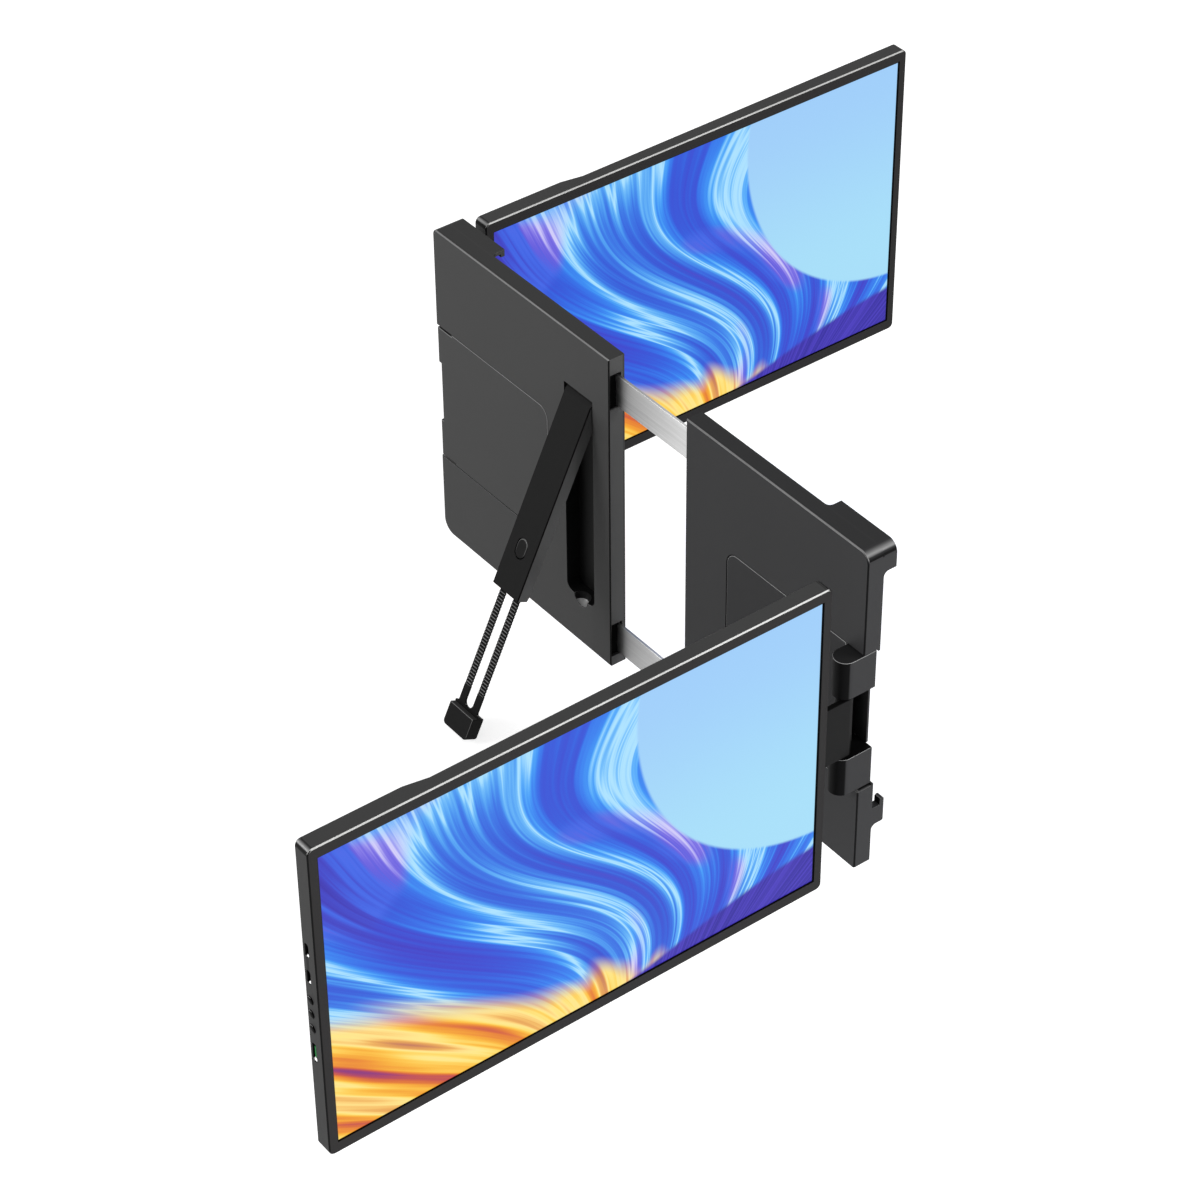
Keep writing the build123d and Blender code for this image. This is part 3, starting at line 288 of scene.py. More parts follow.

# %% [markdown]
# The clamp halves, wings and stand are all dark grey, but not in one shade. The left half is
# a touch lighter than the right, the wings are darker, and the stand is nearly black. The
# bezels have a fainter grain and the palest painted highlight on their edges. Naming the
# finishes keeps those differences in one place.

# %% Housing finishes
left_finish = moulded("left_half_plastic", "#444444", highlight_share=0.6)
right_finish = moulded("right_half_plastic", "#39393a", highlight_share=0.55)
left_leaf_finish = moulded("left_leaf_paint", "#464646", highlight_share=0.9)
right_leaf_finish = moulded("right_leaf_paint", "#3c3c3d", highlight_share=1.0, gloss=0.03)
wing_finish = moulded("wing_plastic", "#323232", highlight_share=1.0)
# The bezel's edge colour is the palest painted highlight of all.
bezel_finish = moulded("bezel_plastic", "#292828", bump=0.008, highlight_share=1.0, edge="#e2e2e0")
stand_finish = moulded("stand_plastic", "#232323", gloss=0.03, highlight_share=0.4)
fork_finish = moulded("fork_plastic", "#1e1e1e", gloss=0.03, highlight_share=0.9, polish=0.1)
foot_finish = moulded("foot_rubber", "#242424", roughness=0.6, gloss=0.03, highlight_share=0.6)
tongue_finish = moulded("tongue_paint", "#1d1d1d", roughness=0.4, gloss=0.03)
button_finish = moulded("button_plastic", "#030303", roughness=0.3, bump=0.0, gloss=0.02, highlight_share=1.0)
pad_finish = moulded("pad_rubber", "#161616", roughness=0.75)
guide_finish = moulded("guide_plastic", "#060606", roughness=0.6, gloss=0.02)
port_finish = moulded("port_black", "#050505", roughness=0.6, gloss=0.02)
board_finish = moulded("circuit_board", "#12843a", roughness=0.35)
print("moulded finishes:", grain_group.users)

# %% [markdown]
# The rails are cold-rolled steel strip, brushed along their length. The brushing is noise
# that is stretched over a hundred times along one axis. It varies the tone, the roughness and
# a faint relief, so that light breaks into long streaks. Scratches could be modelled, but
# they are far finer than a mesh. A painted shade can dim one end, as where a housing overhangs it.

# %% Brushed metal
ALONG_BRUSH, ACROSS_BRUSH = 18.0, 2600.0


def brushed(name, colour, along="X", roughness=0.32, streak=0.35, shade=None):
    material, shader = new_material(name, metallic=1.0)
    tree = material.node_tree
    place = put(tree, "ShaderNodeTexCoord")
    scale = [ALONG_BRUSH if axis == along else ACROSS_BRUSH for axis in "XYZ"]
    stretch = put(tree, "ShaderNodeMapping", {"Scale": scale})
    lines = put(tree, "ShaderNodeTexNoise", {"Scale": 1.0, "Detail": 3.0, "Roughness": 0.7})
    join(tree, place, "Object", stretch, "Vector")
    join(tree, stretch, "Vector", lines, "Vector")
    bright = calc(tree, "MULTIPLY_ADD", lines.outputs["Fac"], 2 * streak, 1 - streak)
    if shade:
        start, end, least = shade
        split = put(tree, "ShaderNodeSeparateXYZ")
        far = put(tree, "ShaderNodeMapRange", {"From Min": start, "From Max": end, "To Min": least})
        join(tree, place, "Object", split, "Vector")
        join(tree, split, "X", far, "Value")
        bright = calc(tree, "MULTIPLY", bright, far.outputs["Result"])
    tree.links.new(dim(tree, colour, bright), shader.inputs["Base Color"])
    rough = put(tree, "ShaderNodeMapRange", {"To Min": roughness - 0.08, "To Max": roughness + 0.12})
    relief = put(tree, "ShaderNodeBump", {"Strength": 0.08, "Distance": 0.0001})
    join(tree, lines, "Fac", rough, "Value")
    join(tree, lines, "Fac", relief, "Height")
    join(tree, rough, "Result", shader, "Roughness")
    join(tree, relief, "Normal", shader, "Normal")
    return material


print("brushing stretched:", round(ACROSS_BRUSH / ALONG_BRUSH), "times")

# %% [markdown]
# Four metals use it. The rails run along X and are painted darker towards the left half, a
# painted shade where it takes them in. The pins are brushed along Z, and the screws and port
# shells along Y.

# %% Metal finishes
RAIL_SHADE = (-0.034, 0.03, 0.35)

rail_finish = brushed("rail_steel", "#c4c4c4", roughness=0.42, streak=0.45, shade=RAIL_SHADE)
pin_finish = brushed("ground_steel", "#8f8f92", along="Z")
socket_finish = brushed("socket_metal", "#f2f2f2", along="Y", roughness=0.6, streak=0.05)
screw_finish = brushed("screw_steel", "#77777b", along="Y")
print("metal finishes: 4")

# %% [markdown]
# A lit screen gives out light, so its picture goes to Emission. The picture is an invented
# abstract: broad silk-like folds that fan out from a point below the screen, with a warm
# petal, a pale hill and a violet dune. An image file would be simpler, but a worked-out
# picture stays sharp and needs no file. These helpers ease between two values, give a
# distance, and lay colours along a ramp.

# %% Picture helpers
def ease(group, source, low, high):
    """0 below low, 1 above high, and a smooth step between."""
    step = put(group, "ShaderNodeMapRange", {"From Min": low, "From Max": high})
    step.interpolation_type = "SMOOTHSTEP"
    group.links.new(source, step.inputs["Value"])
    return step.outputs["Result"]


def distance(group, a, b):
    """How far the point (a, b) lies from (0, 0)."""
    squares = calc(group, "ADD", calc(group, "MULTIPLY", a, a), calc(group, "MULTIPLY", b, b))
    return calc(group, "SQRT", squares)


def bands(group, source, stops):
    """Colours along a ramp, each stop a place from 0 to 1 and a colour."""
    ramp = put(group, "ShaderNodeValToRGB")
    ramp.color_ramp.interpolation = "B_SPLINE"
    first, last = ramp.color_ramp.elements
    first.position, first.color = stops[0][0], paint(stops[0][1])
    last.position, last.color = stops[-1][0], paint(stops[-1][1])
    for position, code in stops[1:-1]:
        ramp.color_ramp.elements.new(position).color = paint(code)
    group.links.new(source, ramp.inputs["Fac"])
    return ramp.outputs["Color"]


print("picture helpers: ease, distance, bands")

# %% [markdown]
# The fan gives each place on the picture an angle and a reach, seen from the point that the
# rays leave. One slow wave bends the rays. Noise on angle and reach then runs along the rays,
# with more turns for finer threads.

# %% Fan of rays
FAN_ACROSS, FAN_BELOW, FAN_BEND = 0.62, 0.35, 0.7


def make_fan(group, place, u, v):
    wave = put(group, "ShaderNodeTexNoise", {"Scale": 1.1, "Detail": 0.0})
    group.links.new(place, wave.inputs["Vector"])
    bend = calc(group, "MULTIPLY_ADD", wave.outputs["Fac"], FAN_BEND, -FAN_BEND / 2)
    across = calc(group, "SUBTRACT", calc(group, "ADD", u, bend), FAN_ACROSS)
    rise = calc(group, "ADD", v, FAN_BELOW)
    return calc(group, "ARCTAN2", across, rise), distance(group, across, rise)


def fan_noise(group, fan, turns, along, detail):
    angle, reach = fan
    place = put(group, "ShaderNodeCombineXYZ")
    group.links.new(calc(group, "MULTIPLY", angle, turns), place.inputs["X"])
    group.links.new(calc(group, "MULTIPLY", reach, along), place.inputs["Y"])
    noise = put(group, "ShaderNodeTexNoise", {"Scale": 1.0, "Detail": detail, "Roughness": 0.5})
    join(group, place, "Vector", noise, "Vector")
    return noise.outputs["Fac"]


def threaded(group, broad, fine, share):
    """A broad pattern with a share of fine threads in it."""
    return calc(group, "MULTIPLY_ADD", fine, share, calc(group, "SUBTRACT", broad, share / 2))


print("rays leave", FAN_BELOW, "of the height below the picture")

# %% [markdown]
# The silk runs from deep blue through a narrow pale crest back to blue. A violet fold drifts
# across it, and a warm petal opens at the lower left, with a ragged border.

# %% Silk and petal
SILK = (
    (0.20, "#2a1a9e"), (0.33, "#3d2fc4"), (0.42, "#1f4fd8"), (0.48, "#2a7cf0"), (0.515, "#3fb0fa"),
    (0.54, "#c8f2ff"), (0.56, "#4fb8fa"), (0.61, "#2765e4"), (0.70, "#2340c8"), (0.80, "#5a3cc8"),
)
VIOLET_FOLD = (
    (0.28, "#2c1c96"), (0.37, "#3b34c6"), (0.42, "#2f6ff0"), (0.46, "#5a4ad2"), (0.50, "#7d70ea"),
    (0.53, "#f2eeff"), (0.56, "#6f62e2"), (0.63, "#3a2cb4"), (0.76, "#2343c8"),
)
WARM_PETAL = (
    (0.26, "#7a2480"), (0.34, "#c8402a"), (0.42, "#f08a14"), (0.50, "#ffd033"), (0.56, "#fff3a0"),
    (0.63, "#f7a81e"), (0.78, "#8a2a6a"),
)
RAGGED = 0.34


def add_silk(group, fan, broad, fine):
    place = threaded(group, broad, fine, 0.24)
    drift = fan_noise(group, fan, 2.6, 1.9, 1.0)
    blue, violet = bands(group, place, SILK), bands(group, place, VIOLET_FOLD)
    return blend_over(group, ease(group, drift, 0.54, 0.60), blue, violet)


def add_petal(group, fan, broad, fine, u, v, below):
    petal = fan_noise(group, fan, 14.0, 1.0, 2.0)
    warm = bands(group, threaded(group, petal, fine, 0.22), WARM_PETAL)
    border = calc(group, "MULTIPLY_ADD", broad, RAGGED, -RAGGED / 2)
    crest = calc(group, "SUBTRACT", calc(group, "MULTIPLY_ADD", u, -0.62, 0.44), v)
    inside = ease(group, calc(group, "ADD", crest, border), -0.02, 0.07)
    return blend_over(group, inside, below, warm)


print("colour stops:", len(SILK), len(VIOLET_FOLD), len(WARM_PETAL))

# %% [markdown]
# Two calm shapes give the eye a rest: a pale round hill at the upper right, and a violet dune
# along the bottom edge, whose crest is a sine curve.

# %% Hill and dune
HILL_ACROSS, HILL_UP, HILL_STRETCH, HILL_RADIUS = 1.02, 0.86, 1.6, 0.66
DUNE_TURN, DUNE_START, DUNE_SWING, DUNE_UP = 4.0, 3.6, 0.10, 0.07


def add_hill(group, u, v, below):
    across = calc(group, "MULTIPLY", calc(group, "SUBTRACT", u, HILL_ACROSS), HILL_STRETCH)
    far = distance(group, across, calc(group, "SUBTRACT", v, HILL_UP))
    inside = ease(group, calc(group, "SUBTRACT", HILL_RADIUS, far), 0.0, 0.012)
    pale = blend_over(group, ease(group, v, 0.3, 1.0), "#a4dcf6", "#9ccbf7")
    return blend_over(group, inside, below, pale)


def add_dune(group, fine, u, v, below):
    swing = calc(group, "SINE", calc(group, "MULTIPLY_ADD", u, DUNE_TURN, DUNE_START))
    crest = calc(group, "MULTIPLY_ADD", swing, DUNE_SWING, DUNE_UP)
    inside = ease(group, calc(group, "SUBTRACT", crest, v), 0.0, 0.02)
    violet = blend_over(group, ease(group, fine, 0.35, 0.65), "#2a1c9c", "#4433bd")
    return blend_over(group, inside, below, violet)


print("dune's highest crest, as a share of the height:", DUNE_UP + DUNE_SWING)

# %% [markdown]
# The layers are stacked in a group, each over the one below. Its only input is the place on
# the picture, from 0 to 1 both ways, so both screens can share it.

# %% Screen picture group
def make_picture_group():
    group = bpy.data.node_groups.new("silk_picture", "ShaderNodeTree")
    group.interface.new_socket("Place", in_out="INPUT", socket_type="NodeSocketVector")
    group.interface.new_socket("Colour", in_out="OUTPUT", socket_type="NodeSocketColor")
    entry = put(group, "NodeGroupInput")
    leave = put(group, "NodeGroupOutput")
    split = put(group, "ShaderNodeSeparateXYZ")
    join(group, entry, "Place", split, "Vector")
    u, v = split.outputs["X"], split.outputs["Y"]
    fan = make_fan(group, entry.outputs["Place"], u, v)
    broad = fan_noise(group, fan, 5.5, 0.7, 1.0)
    fine = fan_noise(group, fan, 70.0, 0.9, 4.0)
    colour = add_silk(group, fan, broad, fine)
    colour = add_petal(group, fan, broad, fine, u, v, colour)
    colour = add_hill(group, u, v, colour)
    colour = add_dune(group, fine, u, v, colour)
    group.links.new(colour, leave.inputs["Colour"])
    return group


picture_group = make_picture_group()
print("nodes in the picture group:", len(picture_group.nodes))

# %% [markdown]
# Between the picture and the bezel's window a real panel keeps a narrow black border. It
# could be a piece of its own, but it lies in the same glass, so a mask switches the glow off
# near the window's rim. The window's place comes from the bezel's box and frame widths.

# %% Black border
FRAME_END = 0.0052
FRAME_SIDE = 0.0069
BLACK_BORDER = 0.0008
BORDER_BLUR = 0.0001


def inside_border(tree, split, node):
    """1 on the lit picture, 0 on the panel's black border."""
    low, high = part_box(node.replace("display", "bezel"))
    y, z = split.outputs["Y"], split.outputs["Z"]
    nearest = 1.0
    for reach in (
        calc(tree, "SUBTRACT", y, low.y + FRAME_END), calc(tree, "SUBTRACT", high.y - FRAME_END, y),
        calc(tree, "SUBTRACT", z, low.z + FRAME_SIDE), calc(tree, "SUBTRACT", high.z - FRAME_SIDE, z),
    ):
        nearest = calc(tree, "MINIMUM", reach, nearest)
    lit = put(tree, "ShaderNodeMapRange", {
        "From Min": BLACK_BORDER - BORDER_BLUR, "From Max": BLACK_BORDER + BORDER_BLUR,
    })
    tree.links.new(nearest, lit.inputs["Value"])
    return lit.outputs["Result"]


print("black border in mm:", BLACK_BORDER * 1000)

# %% [markdown]
# The panel's front is bonded glass: nearly black by itself, smooth, with the picture glowing
# through it. Emission carries the picture and the base stays dark, so the screen keeps its
# colours wherever the wing is turned. Object space is mapped to the picture's own 0 to 1.

# %% Screen finish
def screen_finish(name, node):
    low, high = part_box(node)
    material, shader = new_material(name, roughness=0.25, Specular_IOR_Level=0.12)
    tree = material.node_tree
    shader.inputs["Base Color"].default_value = paint("#0c0d10")
    shader.inputs["Emission Strength"].default_value = 1.0
    place = put(tree, "ShaderNodeTexCoord")
    split = put(tree, "ShaderNodeSeparateXYZ")
    across = put(tree, "ShaderNodeMapRange", {"From Min": low.y, "From Max": high.y}, clamp=False)
    up = put(tree, "ShaderNodeMapRange", {"From Min": low.z, "From Max": high.z}, clamp=False)
    together = put(tree, "ShaderNodeCombineXYZ")
    picture = put(tree, "ShaderNodeGroup", node_tree=picture_group)
    join(tree, place, "Object", split, "Vector")
    join(tree, split, "Y", across, "Value")
    join(tree, split, "Z", up, "Value")
    join(tree, across, "Result", together, "X")
    join(tree, up, "Result", together, "Y")
    join(tree, together, "Vector", picture, "Place")
    glow = dim(tree, picture.outputs["Colour"], inside_border(tree, split, node))
    tree.links.new(glow, shader.inputs["Emission Color"])
    return material


print("finish helper: screen_finish")

# %% [markdown]
# Every carried-over piece now takes its finish. A table of name endings keeps this short:
# the first ending that matches a node's name decides. The displays get a finish each, because
# each one maps its own place to the picture.

# %% Dress the pieces
finishes = [
    ("left_hinge_leaf", left_leaf_finish), ("right_hinge_leaf", right_leaf_finish),
    ("hinge_pin", pin_finish), ("screws", screw_finish), ("grip_pads", pad_finish),
    ("back_shell", wing_finish), ("bezel", bezel_finish), ("control_board", board_finish),
    ("sockets", socket_finish), ("hdmi_socket", socket_finish), ("tongue", tongue_finish),
    ("release_button", stand_finish), ("_button", button_finish), ("_rail", rail_finish),
    ("guide", guide_finish), ("stops", guide_finish), ("leg_housing", stand_finish),
    ("leg_plate", stand_finish), ("fork", fork_finish), ("foot", foot_finish),
    ("pawl", pin_finish), ("pivot_pin", pin_finish),
]
for side, finish in (("left", left_finish), ("right", right_finish)):
    for part in ("back_cover", "front_plate", "top_hook", "side_hook"):
        finishes.append((f"{side}_{part}", finish))

for name, piece in nodes.items():
    if name.endswith("display"):
        finish = screen_finish(name + "_picture", name)
    else:
        finish = next(f for ending, f in finishes if name.endswith(ending))
    piece.data.materials.clear()
    piece.data.materials.append(finish)
print("pieces dressed:", len(nodes))

# %% [markdown]
# The engineering solids have knife edges and flat facets in their round corners. A real
# moulding has a small radius everywhere, and that radius is what catches the light, so the
# outside pieces are remade from copies of their meshes. A copy is loose triangles, so it is
# welded and its flat areas are joined back into whole faces before anything is bevelled.

# %% Copy and weld a piece
WELD_REACH = 2e-6
FLAT_TURN = 0.6


def weld(name):
    shape = bmesh.new()
    shape.from_mesh(nodes[name].data)
    bmesh.ops.remove_doubles(shape, verts=shape.verts, dist=WELD_REACH)
    bmesh.ops.dissolve_limit(
        shape, angle_limit=math.radians(FLAT_TURN), verts=shape.verts, edges=shape.edges,
        delimit={"NORMAL"},
    )
    return shape


def turn_of(edge):
    """How far the surface turns at an edge, in degrees."""
    return math.degrees(edge.calc_face_angle(0.0)) if len(edge.link_faces) == 2 else 0.0


def width_of(face):
    """The mean width of a long, narrow face."""
    return 2 * face.calc_area() / face.calc_perimeter()


print("edges that turn less than", FLAT_TURN, "degrees are joined")

# %% [markdown]
# Where does a rounded edge get a painted highlight? Where it looks up and out into the light,
# and a gloss coat goes with it there. Where it turns away, it gets painted shade. So the mask
# follows the direction that a rounded place faces: two lists of steps give its value for each
# upward part of the normal, one for round corners and one for bevelled edges. The normal is
# blended over small turns, to hide single facets.

# %% Where highlights and shade are painted
# In both lists, values above 0 are painted highlight and values below 0 are painted shade.
CURVE_STEPS = (
    (-1.0, -1.0), (0.45, -1.0), (0.6, -0.2), (0.7, 1.0), (0.85, 0.9), (0.95, 0.2), (1.01, -0.2),
)
EDGE_STEPS = ((-1.0, -1.0), (0.1, -1.0), (0.35, 0.4), (0.5, 1.0), (1.01, 1.0))
BLEND_LIMIT = 0.8
END_ON, TURNED_AWAY = 0.96, 0.4


def blend_of(corner, faces):
    """Area-weighted normal of the faces round a corner that turn little from its own."""
    own = corner.face.normal
    total = Vector()
    for face in corner.vert.link_faces:
        if face in faces and own.dot(face.normal) > BLEND_LIMIT:
            total += face.normal * face.calc_area()
    return total.normalized() if total.length else own


def light_and_shade_of(normal, steps):
    """A painted highlight (1) where a rounded place looks up into the light, painted shade (-1) where it
    turns away.
    """
    if normal.x > END_ON:
        return 0.0
    if normal.x < -TURNED_AWAY or normal.y > TURNED_AWAY:
        return -1.0
    for (low, first), (high, last) in zip(steps, steps[1:]):
        if normal.z <= high:
            return first + (last - first) * (normal.z - low) / (high - low)
    return 0.0


# The print shows the painted highlight on such an edge.
print("rub on an edge that looks half up:", light_and_shade_of(Vector((0.0, -0.866, 0.5)), EDGE_STEPS))

# %% [markdown]
# A remade piece takes the place of its node: it names the node, hides it and rides the same
# body. The bodies are read from the frame, so a piece can't end up on the wrong hinge.

# %% Take a node's place
bodies = frame["record"]["behaviour"]["bodies"]
body_of = {node: body for body, held in bodies.items() for node in held}
placed = []


def place_piece(mesh, name, ending="_soft"):
    piece = bpy.data.objects.new(name + ending, mesh)
    bpy.context.scene.collection.objects.link(piece)
    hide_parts(name)
    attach(piece, body_of[name])
    placed.append(piece.name)


# %% [markdown]
# Rounded faces are found by their small size and gentle turns, or by their narrow width, and
# get the mask. The shading normals are set one by one, because smooth shading alone would bend the
# light over the big flat faces. A piece's own rule may give a corner another value.

# %% Mask and shading of a remade piece
SHARP_TURN, FACET_TURN = 24, 1.5
SMALL_FACE = 4e-5
NARROW_FACE = 0.0013
FACES_UP = 0.95


def is_rounded(face):
    """True on a facet of a round corner, or on a narrow strip along an edge."""
    if width_of(face) < NARROW_FACE:
        return True
    small = face.calc_area() < SMALL_FACE
    return small and any(FACET_TURN < turn_of(edge) < SHARP_TURN for edge in face.edges)


def stand_for(shape, name, finish, bevelled=(), rule=None, top=-0.2):
    """Turn a finished bmesh into the piece that stands for one CAD node."""
    mask = shape.loops.layers.float.new("edge")
    bevelled = set(bevelled)
    every = set(shape.faces)
    rounded = {face for face in every if is_rounded(face)} | bevelled
    normals = []
    for face in shape.faces:
        for corner in face.loops:
            normals.append(blend_of(corner, every))
            if face in rounded:
                steps = EDGE_STEPS if face in bevelled else CURVE_STEPS
                corner[mask] = light_and_shade_of(blend_of(corner, rounded), steps)
            # Faces that look straight up take the piece's top value: above 0 painted light, below 0 painted
            # shade.
            elif face.normal.z > FACES_UP:
                corner[mask] = top
            value = rule(face, corner) if rule else None
            if value is not None:
                corner[mask] = value
    mesh = bpy.data.meshes.new(name + "_soft")
    shape.to_mesh(mesh)
    shape.free()
    mesh.polygons.foreach_set("use_smooth", [True] * len(mesh.polygons))
    mesh.normals_split_custom_set(normals)
    mesh.materials.append(finish)
    place_piece(mesh, name)


print("turns taken as round, in degrees:", FACET_TURN, "to", SHARP_TURN)

# %% [markdown]
# Softening puts the two together: weld a copy, bevel its sharp edges, and let it stand for
# its node. A Bevel modifier could do it with a weight on each edge, but the operator takes a
# plain list, so edges where two pieces meet flush stay sharp by being left out of it.

# %% Soften a piece
BEVEL_FACETS = 3


def soften(name, width=0.0, chosen=None, rule=None, top=-0.2):
    shape = weld(name)
    sharp = [e for e in shape.edges if turn_of(e) > SHARP_TURN] if width else []
    if chosen:
        sharp = [e for e in sharp if chosen((e.verts[0].co + e.verts[1].co) / 2)]
    made = {"faces": ()}
    if sharp:
        made = bmesh.ops.bevel(
            shape, geom=sharp, offset=width, offset_type="OFFSET", segments=BEVEL_FACETS, profile=0.5,
            affect="EDGES", clamp_overlap=True, material=-1,
        )
    faces = len(shape.faces)
    stand_for(shape, name, nodes[name].data.materials[0], made["faces"], rule, top)
    print(name, "edges bevelled:", len(sharp), "faces:", faces)


# %% [markdown]
# A clamp half is a cover, a plate and hooks that meet flush, so their shared edges stay sharp
# and they read as one moulding. Only the cover's edges at its back face are bevelled. Inside
# the kickstand's recess and the notches the mask is below 0, a painted shade that darkens such
# places. The open ends of the notches' ledges get a painted highlight, and so does the small
# scoop that a finger reaches into. The left cover's end faces are painted a little lighter.

# %% Painted light and shade on the covers
BACK_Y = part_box("left_back_cover")[0].y
BACK_REACH = 0.0022
HAIR = 0.0005
RIM_WIDTH, LEDGE_CLEAR = 0.003, 0.01
SCOOP_TOP, SCOOP_FACE = 0.033, 6e-6
# Painted highlight on the ledges' open ends and in the scoop, painted shade in the ledges and the recess.
LEDGE_RIM, LEDGE_DEEP, SCOOP_GLINT, RECESS_DEEP = 1.3, -0.9, 1.6, -0.95
# Painted light on each cover's end faces near its rim.
END_LIGHT = {"left": 0.15, "right": 0.0}


def is_open_ledge(face, low, high):
    """True on a face that looks up, away from the top and bottom, and runs out of an end."""
    sides = [v.co.x for v in face.verts]
    open_ended = min(sides) < low.x + HAIR or max(sides) > high.x - HAIR
    clear = low.z + LEDGE_CLEAR < face.calc_center_median().z < high.z - LEDGE_CLEAR
    return face.normal.z > 0.9 and clear and open_ended


def cover_rule(side):
    low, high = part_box(side + "_back_cover")

    def rule(face, corner):
        centre = face.calc_center_median()
        edges = (centre.x - low.x, high.x - centre.x, centre.z - low.z, high.z - centre.z)
        inner = min(edges) > RIM_WIDTH
        if is_open_ledge(face, low, high):
            outer = min(corner.vert.co.x - low.x, high.x - corner.vert.co.x) < HAIR
            return LEDGE_RIM if outer else LEDGE_DEEP
        if face.normal.x > 0.95 and not inner:
            return END_LIGHT[side]
        if not inner or centre.y < BACK_Y + HAIR:
            return None
        in_scoop = centre.z < SCOOP_TOP and face.calc_area() < SCOOP_FACE
        return SCOOP_GLINT if in_scoop and face.normal.z > 0.6 else RECESS_DEEP
    return rule


print("back face in mm:", round(BACK_Y * 1000, 2))

# %% [markdown]
# The plates keep their sharp edges, and their faces that look back get painted shade. Hooks are
# bevelled everywhere except along the seams where they meet the plate: its two faces lie at Y 0
# and at Y -1.2 mm.

# %% Clamp halves
COVER_ROUND, TOP_HOOK_ROUND, SIDE_HOOK_ROUND = 0.0003, 0.0004, 0.0002
SEAM_HALF = 0.0003
SEAM_BACK, SEAM_FRONT = -0.0013, -0.0011


def near_back(point):
    return point.y < BACK_Y + BACK_REACH


def clear_of_seam(point):
    return abs(point.y) > SEAM_HALF and not SEAM_BACK < point.y < SEAM_FRONT


# Plate faces that look back into the notches get painted shade.
def plate_rule(face, corner):
    return RECESS_DEEP if face.normal.y < -0.5 else None


for side in ("left", "right"):
    soften(side + "_back_cover", COVER_ROUND, near_back, cover_rule(side))
    soften(side + "_front_plate", rule=plate_rule)
    soften(side + "_top_hook", TOP_HOOK_ROUND, clear_of_seam)
    soften(side + "_side_hook", SIDE_HOOK_ROUND, clear_of_seam)

# %% [markdown]
# The hinge leaves lie flush in the back, and a fine rim with a painted highlight shows their
# outline, with painted shade on its downward side. Between the two arms of a leaf sits the
# wing's tongue, and the pocket round it is in shade, so the faces that look into it get painted
# shade, as do the tongue's upper and lower faces and, more lightly, the leaves' top faces.

# %% Hinge leaves and tongues
LEAF_ROUND, TONGUE_ROUND = 0.00045, 0.0004
LEAF_RIM_WIDTH = 0.0008
# Painted highlight on the leaf rims, painted shade on the tongue's upper and lower faces.
LEAF_RIM, TONGUE_SHADE = 0.9, -0.6
POCKET_BELOW, POCKET_ABOVE = 0.0009, 0.0025
PLATE_BACK, PLATE_FRONT = -0.0014, 0.0002


def off_plate(point):
    return not PLATE_BACK < point.y < PLATE_FRONT


def leaf_rule(side):
    tongue_low, tongue_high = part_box(side + "_wing_hinge_tongue")

    def rule(face, corner):
        centre = face.calc_center_median()
        if width_of(face) < LEAF_RIM_WIDTH and abs(centre.y - BACK_Y) < HAIR:
            return LEAF_RIM if face.normal.z > -0.1 else -1.0
        in_pocket = tongue_low.z - POCKET_BELOW < centre.z < tongue_high.z + POCKET_ABOVE
        return -1.0 if in_pocket and abs(face.normal.z) > 0.9 else None
    return rule


def tongue_rule(face, corner):
    return TONGUE_SHADE if abs(face.normal.z) > 0.2 else None


for side in ("left", "right"):
    soften(side + "_hinge_leaf", LEAF_ROUND, off_plate, leaf_rule(side), top=-0.5)
    soften(side + "_wing_hinge_tongue", TONGUE_ROUND, rule=tongue_rule)

# %% [markdown]
# A wing is a shell closed by a bezel. The bezel's outer edge carries a painted highlight, and
# the shell's top faces are painted a little lighter. The narrow lip round its window is deep and
# gets painted shade, so that no white line runs between the frame and the picture. The shell's
# edges are rounded only near its outside, because its inside is hidden.

# %% Wings
SHELL_ROUND, BEZEL_ROUND = 0.0003, 0.00012
OUTSIDE_DEPTH = 0.0012
LIP_INSET = 0.004


def outside_of(name):
    """Points near the six sides of a piece's box."""
    low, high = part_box(name)

    def test(point):
        return any(
            point[axis] < low[axis] + OUTSIDE_DEPTH or point[axis] > high[axis] - OUTSIDE_DEPTH
            for axis in range(3)
        )
    return test


# The narrow faces of the window's lip get painted shade.
def lip_rule(name):
    low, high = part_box(name)

    def rule(face, corner):
        centre = face.calc_center_median()
        edges = (centre.y - low.y, high.y - centre.y, centre.z - low.z, high.z - centre.z)
        return -1.0 if min(edges) > LIP_INSET and width_of(face) < NARROW_FACE else None
    return rule


for side in ("left", "right"):
    shell, bezel = side + "_wing_back_shell", side + "_wing_bezel"
    soften(shell, SHELL_ROUND, outside_of(shell), top=0.08)
    soften(bezel, BEZEL_ROUND, rule=lip_rule(bezel), top=0.0)

# %% [markdown]
# The kickstand's teeth are what makes it stay where it is set. Each tooth is a ridge across
# both bars. The crests on the flanks that look up the leg get a painted highlight, and the roots
# and the other flanks get painted shade. Two directions, down the leg and into it, tell them
# apart. The leg's big side face is painted lighter towards its foot, and the foot's ledge a
# little lighter too.

# %% Kickstand's painted light and shade
STAND_ANGLE = math.radians(25.4)
TOOTH_FACE = 9e-6
CREST_REACH = 0.0001
# Painted highlight on the tooth crests.
CREST_HIGHLIGHT = 1.2
LEG_SIDE_FACE = 1e-4
# Painted light on the leg's side face and on the foot's ledge.
LEG_LIGHT_LOW, LEG_LIGHT_GAIN, FOOT_LEDGE_LIGHT = 0.2, 0.5, 0.3
down_leg = Vector((0, -math.sin(STAND_ANGLE), -math.cos(STAND_ANGLE)))
into_leg = Vector((0, math.cos(STAND_ANGLE), -math.sin(STAND_ANGLE)))
fork_place = sum(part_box("kickstand_fork"), Vector()) / 2


